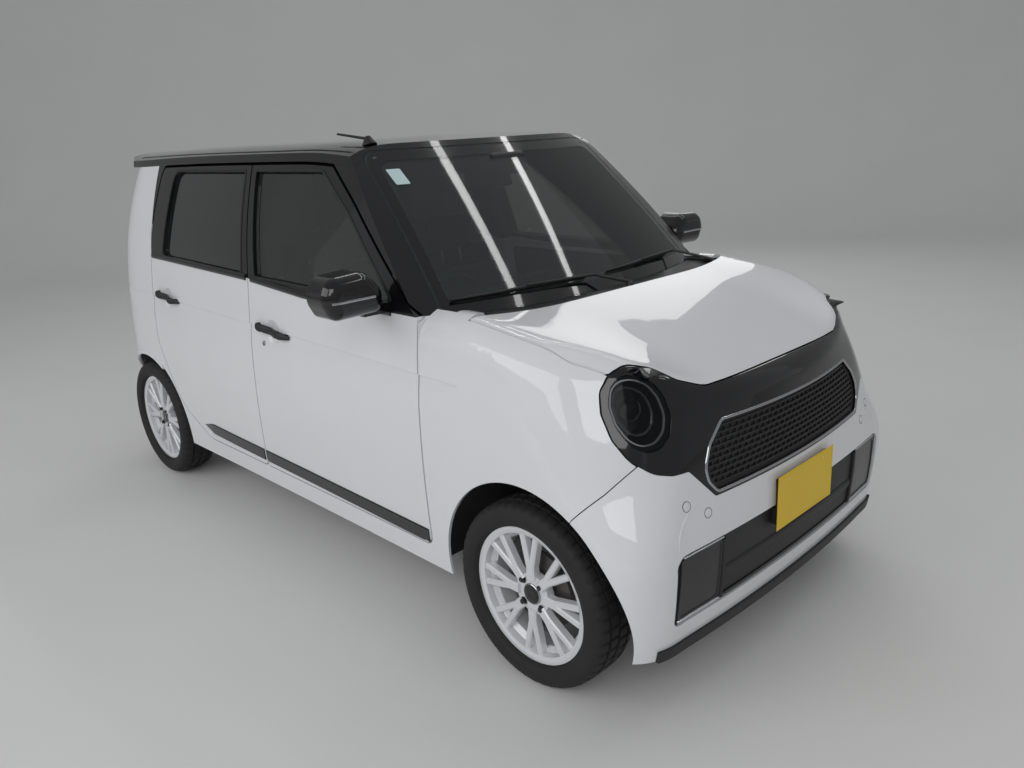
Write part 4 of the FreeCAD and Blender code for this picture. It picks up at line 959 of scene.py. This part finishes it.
def cushion(name, centre, size, lean, body, seams=(), bulge=0.16, waist=0.05, steps=26, power=5.0):
    """A crowned pad: x is its depth, y its width, z its thickness, leaned about Y by lean degrees.

    seams are shares of the width, from -1 to 1, where a sewn channel runs from front to back.
    """
    sx, sy, sz = (v / 2 for v in size)
    turn = Matrix.Rotation(math.radians(lean), 3, "Y")
    cube = bmesh.new()
    bmesh.ops.create_cube(cube, size=2.0)
    bmesh.ops.subdivide_edges(cube, edges=cube.edges, cuts=steps, use_grid_fill=True)
    for vert in cube.verts:
        p = vert.co
        reach = (abs(p.x) ** power + abs(p.y) ** power + abs(p.z) ** 3.0) ** (1 / power)
        q = p / max(reach, 1e-6)
        across = q.y
        pulled_x = q.x * (1 - waist * (1 - across * across))
        pulled_y = q.y * (1 - waist * (1 - q.x * q.x))
        crown = 1 + bulge * (1 - q.x * q.x) * (1 - across * across)
        groove = sum(math.exp(-(((across - s) * sy / SEAM_WIDTH) ** 2)) for s in seams)
        dip = math.copysign(groove * SEAM_WIDTH, q.z) * min(1.0, abs(q.z) * 1.6)
        height = q.z * sz * crown / (1 + bulge) - dip
        vert.co = (Vector(centre) + turn @ Vector((pulled_x * sx, pulled_y * sy, height))) * MM
    mesh = bpy.data.meshes.new(name)
    bmesh.ops.recalc_face_normals(cube, faces=cube.faces)
    cube.to_mesh(mesh)
    cube.free()
    dress(mesh, materials["seat_fabric"])
    obj = add_object(name, mesh)
    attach(obj, body)
    return obj


PIPING_STEPS = 96


def piping(name, centre, size, lean, share, waist=0.05, power=5.0, radius=3.0):
    """The sewn cord round a pad, at a share of its half thickness above its middle."""
    sx, sy, sz = (v / 2 for v in size)
    turn = Matrix.Rotation(math.radians(lean), 3, "Y")
    points, outs = [], []
    for c, d in oval(1, 1, PIPING_STEPS):
        reach = (abs(c) ** power + abs(d) ** power) ** (1 / power)
        x, y = c / reach, d / reach
        x, y = x * (1 - waist * (1 - y * y)), y * (1 - waist * (1 - x * x))
        points.append((Vector(centre) + turn @ Vector((x * sx * 0.985, y * sy * 0.985, share * sz))) * MM)
        outs.append(turn @ Vector((c, d, 0)))
    sweep(name, points, outs, oval(radius, radius, 8), "seat_piping", closed=True)


def rod(name, points, radius, material, tip=1.0, steps=12):
    """A round bar through points in millimetres, thinner at its far end by the share tip."""
    line = [p * MM for p in refine([Vector(p) for p in points], 30, closed=False)]
    aside = (line[-1] - line[0]).orthogonal()

    def thinning(t):
        return 1 - (1 - tip) * t

    sweep(name, line, [aside] * len(line), oval(radius, radius, steps), material, taper=thinning)


# Seats

FRONT_SEAT_Y = 335.0
REAR_REST_Y = 315.0
POST_SHIFT = 55.0


def head_rest(name, x, y, z, width, height):
    size = (height, width, 92)
    cushion(name, (x, y, z), size, -78, "car_body", bulge=0.3, waist=0.02, steps=18, power=3.6)
    for i, shift in enumerate((-POST_SHIFT, POST_SHIFT)):
        foot = [(x + 6, y + shift, z - height / 2 + 14), (x + 16, y + shift, z - height / 2 - 62)]
        rod(f"{name}_post_{i}", foot, 6.0, "bright_trim")


# name, its piping's name, middle's x and z, size, lean, fill, seams, bulge, piping's share
FRONT_PADS = (
    ("seat_base_", "seat_base_piping_", 128, 418, (470, 480, 128), -4, 0.75, (-0.52, 0.52), 0.16, 0.35),
    ("seat_back_", "seat_back_piping_", -168, 710, (560, 462, 112), -76, 0.75, (-0.5, 0.5), 0.16, -0.3),
)
REAR_PADS = (
    ("rear_seat_base", "rear_base_piping", -655, 462, (430, 1150, 104), -4, 0.7, (-0.34, 0, 0.34), 0.1, 0.35),
    ("rear_seat_back", "rear_back_piping", -905, 728, (500, 1060, 96), -75, 0.7, (-0.36, 0, 0.36), 0.1, -0.3),
)


def seat_pads(rows, y, ending=""):
    """Pads with their piping, at one place across the car."""
    pads = []
    for name, cord, x, z, size, lean, fill, seams, bulge, share in rows:
        pads.append(cushion(name + ending, (x, y, z), size, lean, "car_body", seams, bulge))
        piping(cord + ending, (x, y, z), size, lean, share)
    return pads


seat_pieces = []
for hand, side in HANDS:
    y = side * FRONT_SEAT_Y
    seat_pieces += seat_pads(FRONT_PADS, y, hand)
    head_rest("front_head_rest_" + hand, -258, y, 1112, 258, 172)
    block("seat_mount_" + hand, (125, y, 320), (420, 360, 145), 16, "cabin_plastic", taper=(0.95, 0.98))
    block("seat_lever_" + hand, (60, y + side * 234, 372), (150, 16, 34), 6, "cabin_plastic")
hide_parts("front_seats")

bench, _ = seat_pads(REAR_PADS, 0)
for hand, side in HANDS:
    head_rest("rear_head_rest_" + hand, -992, side * REAR_REST_Y, 1050, 228, 132)
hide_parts("rear_seat")

# Dashboard, steering wheel and mirror inside

UPRIGHT_BOX = (1.0, 1.0)
# name, middle, size, edge radius, material, taper, tilt in degrees
DASH_BLOCKS = (
    ("dash_hood", (592, -330, 1006), (150, 330, 58), 22, "cabin_plastic", (0.7, 0.86), 0),
    ("dash_screen", (566, 0, 965), (28, 210, 120), 8, "gloss_black", UPRIGHT_BOX, -14),
    ("dash_screen_frame", (578, 0, 962), (40, 236, 146), 12, "cabin_plastic", UPRIGHT_BOX, -14),
    ("dash_controls", (560, 0, 830), (34, 220, 96), 10, "gloss_black", UPRIGHT_BOX, -8),
)
CONSOLE_BLOCKS = (
    ("glove_lid", (562, 345, 800), (20, 380, 150), 8, "cabin_plastic", UPRIGHT_BOX, 5),
    ("glove_latch", (552, 345, 850), (10, 70, 20), 4, "gloss_black", UPRIGHT_BOX, 0),
    ("shift_stalk_base", (545, -120, 770), (44, 92, 120), 14, "gloss_black", UPRIGHT_BOX, -20),
)
MIRROR_BLOCKS = (
    ("mirror_inside", (396, 0, 1378), (26, 236, 64), 12, "cabin_plastic", (0.9, 0.95), -12),
    ("mirror_inside_glass", (382, 0, 1378), (4, 218, 50), 1.8, "mirror_glass", UPRIGHT_BOX, -12),
)


def blocks(rows):
    for name, centre, size, round_mm, material, taper, tilt in rows:
        block(name, centre, size, round_mm, material, taper=taper, tilt=tilt)


blocks(DASH_BLOCKS)
DIAL = ((-4.0, 20.0), (10.0, 19.0), (14.0, 16.0), (15.0, 0.0))
for i, y in enumerate((-66, 0, 66)):
    turned(DIAL, f"dash_dial_{i}", Vector((543, y, 832)) * MM, (-1, 0, 0.12), "cabin_plastic", steps=28)
SLATS = ("cabin_plastic", "bright_trim", "cabin_plastic")
for i, y in enumerate((-560, -160, 160, 560)):
    block(f"dash_vent_{i}", (566, y, 955), (26, 84, 60), 10, "gloss_black", tilt=-10)
    for k, material in enumerate(SLATS):
        block(f"dash_vent_slat_{i}_{k}", (551, y, 938 + 17 * k), (8, 70, 5), 1.5, material, tilt=-10)
blocks(CONSOLE_BLOCKS)
rod("shift_stalk", [(520, -120, 780), (470, -120, 845)], 7.0, "bright_trim")
KNOB = ((0.0, 0.0), (0.0, 13.0), (16.0, 20.0), (40.0, 19.0), (50.0, 11.0), (52.0, 0.0))
turned(KNOB, "shift_knob", Vector((474, -120, 838)) * MM, (-0.6, 0, 0.8), "cabin_plastic", steps=28)

WHEEL_TILT = math.radians(24)
STEER_HUB = Vector((600, -330, 850)) * MM
steer_axis = Vector((-math.cos(WHEEL_TILT), 0, math.sin(WHEEL_TILT)))
steer_foot = STEER_HUB + steer_axis * 0.12
HORN_PAD = ((-6.0, 64.0), (24.0, 72.0), (44.0, 66.0), (54.0, 44.0), (58.0, 0.0))
PAD_RING = ((36.0, 70.5), (43.0, 69.5), (46.0, 66.5), (44.0, 64.0), (36.0, 70.5))
turned(HORN_PAD, "horn_pad", steer_foot, steer_axis, "cabin_plastic", "steering_wheel", steps=40)
turned(PAD_RING, "horn_pad_ring", steer_foot, steer_axis, "dark_chrome", "steering_wheel", steps=40)
rod("mirror_stalk", [(470, 0, 1452), (425, 0, 1412), (408, 0, 1392)], 8.0, "cabin_plastic")
blocks(MIRROR_BLOCKS)
for hand, side in HANDS:
    block("sun_visor_" + hand, (330, side * 330, 1462), (170, 380, 18), 8, "headliner", tilt=-12)

# Wipers, aerial and roof edges

cowl_tree = tree_of("cowl", "bonnet", "wings", "windscreen")
WIPER_BOSS = ((-6.0, 0.0), (-6.0, 14.0), (14.0, 13.0), (21.0, 9.0), (24.0, 0.0))
WIPER_LEAN = (0.3, 0, 1)


def thin_end(t):
    return 1.0 - 0.4 * t


def thin_ends(t):
    return 1.0 - 0.4 * abs(2 * t - 1)


def lifted(places, outs, height):
    """Places moved off the surface by a height in metres."""
    return [p + o * height for p, o in zip(places, outs)]


def wiper(name, pivot, elbow, blade):
    """An arm from its pivot on the cowl to the blade's middle, and the blade along the glass's foot."""
    foot, foot_out = land(cowl_tree, top_view[0](*pivot), top_view[1])
    places, outs = lay(cowl_tree, front_view, refine([Vector(p) for p in blade], 20, closed=False))
    outs = smooth_outs(outs, False)
    middle = len(places) // 2
    rest, rest_out = land(cowl_tree, front_view[0](*elbow), front_view[1])
    arm = [foot + foot_out * 0.020, rest + rest_out * 0.026, places[middle] + outs[middle] * 0.022]
    arm = refine(arm, 0.03, closed=False)
    arm_outs = [outs[middle]] * len(arm)
    sweep(name + "_arm", arm, arm_outs, flat_band(12, 6), "black_plastic", taper=thin_end)
    turned(WIPER_BOSS, name + "_boss", foot, WIPER_LEAN, "black_plastic", steps=28)
    rail = lifted(places, outs, 0.011)
    sweep(name + "_blade", rail, outs, flat_band(11, 8), "black_plastic", taper=thin_ends)
    sweep(name + "_rubber", lifted(places, outs, 0.004), outs, flat_band(4, 7, 3.6), "soft_rubber")


wiper("wiper_right", (1020, 40), (-60, 1058), ((-585, 1062), (-330, 1066), (-80, 1064)))
wiper("wiper_left", (1014, 560), (480, 1062), ((30, 1066), (240, 1068), (440, 1064)))

roof_tree = tree_of("roof")
ROOF_DRIP_Y = 556
for hand, side in HANDS:
    line = [(x, side * ROOF_DRIP_Y) for x in range(380, -1381, -40)]
    trim_line("roof_drip_" + hand, roof_tree, top_view, line, half_round(9, 3), "gloss_black", spacing=40)
AERIAL_FOOT = (
    (-3.0, 0.0),
    (-3.0, 26.0),
    (2.0, 25.0),
    (10.0, 19.0),
    (20.0, 14.0),
    (27.0, 9.0),
    (29.0, 0.0),
)
spot, _ = land(roof_tree, top_view[0](330, -470), top_view[1])
turned(AERIAL_FOOT, "aerial_foot", spot, (-0.3, 0.0, 1.0), "black_plastic", steps=28)
base = spot / MM + Vector((-6, 0, 18))
rod("aerial_mast", [base, base + Vector((-180, 0, 20))], 5.0, "black_plastic", tip=0.6)

# Trim inside: door cards, headliner, luggage space and bonnet

CARD_FRONT = (
    (742, 352, 50),
    (742, 985, 30),
    (700, 1018, 20),
    (-128, 1018, 20),
    (-118, 820, 300),
    (-134, 352, 40),
)
CARD_REAR = (
    (-302, 352, 40),
    (-288, 820, 300),
    (-294, 1018, 20),
    (-1016, 1018, 30),
    (-1016, 745, 150),
    (-905, 520, 180),
    (-730, 370, 80),
)
INSERT_FRONT = ((560, 690, 60), (600, 900, 60), (-60, 930, 40), (-60, 690, 40))
INSERT_REAR = ((-360, 690, 40), (-360, 930, 40), (-900, 940, 60), (-870, 690, 80))
# kind, card, insert, middle of the arm rest, its length, opener's x, speaker's x and radius
CARDS = (
    ("front", CARD_FRONT, INSERT_FRONT, 190, 470, 560, 590, 78),
    ("rear", CARD_REAR, INSERT_REAR, -590, 360, -390, -430, 58),
)


def raised(outline, edge, top):
    """Loops for a panel that stands edge to top millimetres off what it lies on."""
    shares = (1.0, 1.0, 0.985, 0.9, 0.6, 0.3)
    return stacked(outline, zip(shares, (-0.5, edge, top, top, top, top)))


for hand, side in HANDS:
    view = view_along(Y, side * 0.3, side)
    for kind, card, insert, arm_x, arm_length, opener_x, speaker_x, speaker_radius in CARDS:
        body = f"door_{kind}_{hand}"
        ending = f"_{kind}_{hand}"
        tree = tree_of(body)
        outline = refine(rounded(card, 5), 30)
        panel("card" + ending, tree, view, raised(outline, 4, 7), "cabin_plastic", body)
        outline = refine(rounded(insert, 5), 30)
        panel("card_insert" + ending, tree, view, raised(outline, 9, 12), "seat_fabric", body)
        arm = (arm_x, side * 614, 640)
        block("arm_rest" + ending, arm, (arm_length, 52, 66), 18, "cabin_plastic", body, (0.94, 0.9))
        switches = (arm_x + 60, side * 612, 675)
        block("arm_switches" + ending, switches, (130, 34, 8), 3, "gloss_black", body)
        block("door_opener" + ending, (opener_x, side * 620, 842), (110, 22, 44), 8, "gloss_black", body)
        block("door_lever" + ending, (opener_x, side * 611, 842), (76, 12, 22), 5, "dark_chrome", body)
        if kind == "front":
            pocket = (150, side * 622, 440)
            block("door_pocket_" + hand, pocket, (520, 36, 120), 12, "cabin_plastic", body)
        centre = Vector((speaker_x, side * 640, 470)) * MM
        r = speaker_radius
        cone = [(-4.0, r), (9.0, r), (12.0, r - 4), (11.0, r - 8), (9.0, r - 10), (12.0, r / 2), (13.0, 0.0)]
        turned(cone, "speaker" + ending, centre, (0, -side, 0), "cabin_plastic", body)


def lining(name, node, view, corners, gap, heights, material, body):
    outline = refine(rounded(corners, 5), gap)
    panel(name, tree_of(node), view, raised(outline, *heights), material, body)


HEADLINER = ((380, -500, 60), (380, 500, 60), (-1340, 500, 60), (-1340, -500, 60))
BONNET_LINING = ((1110, -460, 60), (1110, 460, 60), (1500, 420, 80), (1500, -420, 80))
GATE_LINING = ((-430, 540, 60), (430, 540, 60), (440, 985, 60), (-440, 985, 60))
below_roof = view_along(Z, 1.25, 1)
below_bonnet = view_along(Z, 0.84, 1)
inside_gate = view_along(X, -1.25, -1)
lining("headliner_panel", "roof", below_roof, HEADLINER, 60, (4, 8), "headliner", "car_body")
lining("bonnet_lining", "bonnet", below_bonnet, BONNET_LINING, 30, (4, 7), "headliner", "bonnet")
block("engine_cover", (1250, 0, 827), (300, 400, 22), 9, "black_plastic", taper=(0.94, 0.95))
for i, y in enumerate((-120, -60, 0, 60, 120)):
    block(f"engine_rib_{i}", (1250, y, 838), (230, 10, 5), 2, "black_plastic")
OIL_CAP = ((0.0, 26.0), (10.0, 26.0), (15.0, 23.0), (16.0, 0.0))
turned(OIL_CAP, "oil_cap", Vector((1440, -200, 820)) * MM, (0, 0, 1), "black_plastic", steps=28)
lining("tailgate_lining", "tailgate", inside_gate, GATE_LINING, 30, (4, 7), "cabin_plastic", "tailgate")

# Rolled edges of the rear wheel arches

ARCH_CENTRE = (-1282.5, 283.0)
ARCH_EDGE_RADIUS = 334.0
ARCH_INNER_Y = 0.66
side_tree = tree_of("quarter_panels", "rear_bumper", "body_sides")


def arch_edge(name, side):
    """A rolled edge round the rear wheel's arch, over the joints between the panels."""
    line = []
    for degrees in range(12, 163, 3):
        a = math.radians(degrees)
        x = ARCH_CENTRE[0] + ARCH_EDGE_RADIUS * math.cos(a)
        line.append((x, ARCH_CENTRE[1] + ARCH_EDGE_RADIUS * math.sin(a)))
    laid = zip(*lay(side_tree, view_along(Y, side * 1.3, -side), line))
    places, outs = zip(*[(p, o) for p, o in laid if abs(p.y) > ARCH_INNER_Y])
    sweep(name, places, smooth_outs(outs, False), flat_band(22, 2.0, 7.0), "body_paint")


for hand, side in HANDS:
    arch_edge("arch_edge_" + hand, side)

# Tail: recess, handle, wiper, lamps and reflectors

gate_tree = tree_of("tailgate", "tailgate_glass")
lamp_tree = tree_of("tail_lamps", "quarter_panels", "rear_bumper")
rear_tree = tree_of("rear_bumper")
RECESS = ((-240, 690, 40), (240, 690, 40), (225, 895, 30), (-225, 895, 30))
RECESS_STEPS = ((1.0, 0.3), (0.985, 4.0), (0.95, 4.0), (0.93, 0.6), (0.6, 0.6), (0.3, 0.6))
outline = refine(rounded(RECESS, 5), 16)
panel("plate_recess", gate_tree, back_view, stacked(outline, RECESS_STEPS), "body_paint", "tailgate")


def cross_line(name, half, z, tree, profile, material, body):
    """Trim straight across the tail, half wide to each side."""
    line = [(y, z) for y in range(-half, half + 1, 20)]
    trim_line(name, tree, back_view, line, profile, material, body, spacing=20)


cross_line("tailgate_grip", 250, 930, gate_tree, flat_band(40, 14), "gloss_black", "tailgate")
cross_line("tailgate_crease", 420, 962, gate_tree, half_round(8, 3), "dark_chrome", "tailgate")
GATE_GLASS = ((-500, 1030, 60), (-450, 1425, 60), (450, 1425, 60), (500, 1030, 60))
rim = scaled(rounded(GATE_GLASS, 5), 1.006)
bead = half_round(14, 4)
trim_line("tailgate_seal", gate_tree, back_view, rim, bead, "soft_rubber", "tailgate", closed=True)
places, outs = lay(gate_tree, back_view, [(0, 1046), (110, 1078), (200, 1110)])
arm = refine(lifted(places, outs, 0.02), 0.03, closed=False)
band = flat_band(15, 8, 1.0)
sweep("rear_wiper_arm", arm, [outs[1]] * len(arm), band, "black_plastic", "tailgate", taper=thin_end)
REAR_BOSS = ((-6.0, 0.0), (-6.0, 22.0), (14.0, 20.0), (26.0, 14.0), (30.0, 0.0))
turned(REAR_BOSS, "rear_wiper_boss", places[0], outs[0], "black_plastic", "tailgate", steps=32)
# name, line, height over the glass in metres, cross-section, material
GLASS_BARS = (
    (
        "rear_wiper_blade",
        refine([Vector((40, 1100)), Vector((340, 1118))], 20, closed=False),
        0.010,
        flat_band(10, 9, 8.0),
        "black_plastic",
    ),
    ("stop_lamp_high", [(y, 1408) for y in range(-110, 111, 20)], 0.002, flat_band(22, 9, 3.0), "tail_lamp"),
)
for name, line, height, profile, material in GLASS_BARS:
    places, outs = lay(gate_tree, back_view, line)
    bar = lifted(places, outs, height)
    sweep(name, bar, smooth_outs(outs, False), profile, material, "tailgate")
# name, distance from the middle, heights, cross-section, material, spacing
TAIL_LINES = (
    ("tail_guide_", 612, range(668, 948, 14), half_round(12, 5), "reflector_red", 14),
    ("reverse_lamp_", 586, range(672, 772, 12), flat_band(20, 4), "lamp_silver", 12),
    ("turn_lamp_", 586, range(790, 880, 12), flat_band(20, 4), "turn_lamp", 12),
)
for hand, side in HANDS:
    for name, y, heights, profile, material, gap in TAIL_LINES:
        line = [(side * y, z) for z in heights]
        trim_line(name + hand, lamp_tree, back_view, line, profile, material, spacing=gap)
    line = [(side * y, 392) for y in range(470, 571, 12)]
    trim_line("rear_reflector_" + hand, rear_tree, back_view, line, flat_band(34, 5), "reflector_red")
cross_line("rear_valance", 480, 296, rear_tree, flat_band(86, 5), "black_plastic", "car_body")

# Floor, light and camera

# The camera was fitted to the photograph: place in metres, angles in radians, focal length in its pixels
CAMERA_PLACE = (2.7467, -2.1767, 1.5543)
YAW, PITCH, ROLL = 2.3793, -0.2963, -0.0530
FOCAL_PX = 837.85
PHOTO_WIDTH_PX = 1024
SENSOR_MM = 36.0
FLOOR_COLOUR = (0.76, 0.76, 0.75)
# The floor in metres: its half width, where its curve starts, the curve's radius and the wall's top
FLOOR_REACH = 40.0
CURVE_START = 7.0
CURVE_RADIUS = 3.0
WALL_TOP = 14.0


def stage_material(name, colour):
    material, tree, bsdf = shader_nodes(name)
    tree.links.new(wandering(tree, add_noise(tree, 1.5, 4), colour, 0.03), bsdf.inputs["Base Color"])
    bsdf.inputs["Roughness"].default_value = 0.6
    return material


def backdrop():
    """A floor that rises in a smooth curve behind the car."""
    profile = [(-FLOOR_REACH, 0.0), (CURVE_START, 0.0)]
    for k in range(1, 13):
        a = math.pi / 2 * k / 12
        away_m = CURVE_START + CURVE_RADIUS * math.sin(a)
        profile.append((away_m, CURVE_RADIUS - CURVE_RADIUS * math.cos(a)))
    profile.append((CURVE_START + CURVE_RADIUS, WALL_TOP))
    away = Vector((math.cos(YAW), math.sin(YAW), 0))
    aside = Vector((-away.y, away.x, 0))
    verts = []
    for a, z in profile:
        for w in (-FLOOR_REACH, FLOOR_REACH):
            verts.append(away * a + aside * w + Vector((0, 0, z)))
    mesh = bpy.data.meshes.new("floor")
    mesh.from_pydata([tuple(v) for v in verts], [], grid(len(profile), 2, ring_closed=False))
    dress(mesh, stage_material("floor", FLOOR_COLOUR))
    obj = add_object("floor", mesh)


backdrop()


def lamp(name, place, target, size, power):
    data = bpy.data.lights.new(name, "AREA")
    data.shape = "RECTANGLE"
    data.size, data.size_y = size
    data.energy = power
    obj = add_object(name, data)
    obj.location = place
    obj.rotation_euler = (Vector(target) - Vector(place)).to_track_quat("-Z", "Y").to_euler()


# name, place, aimed at, size, power in watts
LAMPS = (
    ("lamp_over", (0.4, 1.5, 4.4), (0.4, 0.9, 0.0), (6.0, 0.14), 16),
    ("lamp_over_left", (0.4, 3.0, 4.4), (0.4, 2.0, 0.0), (6.0, 0.14), 16),
    ("lamp_front", (4.6, -4.6, 3.8), (0.8, 0.0, 0.6), (3.4, 2.4), 72),
    ("lamp_side", (-0.6, -5.6, 3.4), (0.0, 0.0, 0.7), (6.0, 2.6), 95),
    ("lamp_left", (-3.4, 5.4, 3.8), (0.0, 0.0, 0.6), (4.0, 2.0), 36),
)
for row in LAMPS:
    lamp(*row)
world = bpy.data.worlds.new("room")
bpy.context.scene.world = world
world.use_nodes = True
set_sockets(world.node_tree.nodes["Background"], {"Color": (0.82, 0.83, 0.85, 1), "Strength": 0.40})

forward = Vector((math.cos(YAW) * math.cos(PITCH), math.sin(YAW) * math.cos(PITCH), math.sin(PITCH)))
right = Vector((math.sin(YAW), -math.cos(YAW), 0))
up = right.cross(forward)
rolled_right = math.cos(ROLL) * right + math.sin(ROLL) * up
rolled_up = math.cos(ROLL) * up - math.sin(ROLL) * right
camera_data = bpy.data.cameras.new("camera")
camera_data.sensor_width = SENSOR_MM
camera_data.lens = FOCAL_PX / PHOTO_WIDTH_PX * SENSOR_MM
camera = add_object("camera", camera_data)
turn = Matrix((rolled_right, rolled_up, -forward)).transposed().to_4x4()
camera.matrix_world = Matrix.Translation(CAMERA_PLACE) @ turn
bpy.context.scene.camera = camera
bpy.context.scene.view_settings.view_transform = "Standard"
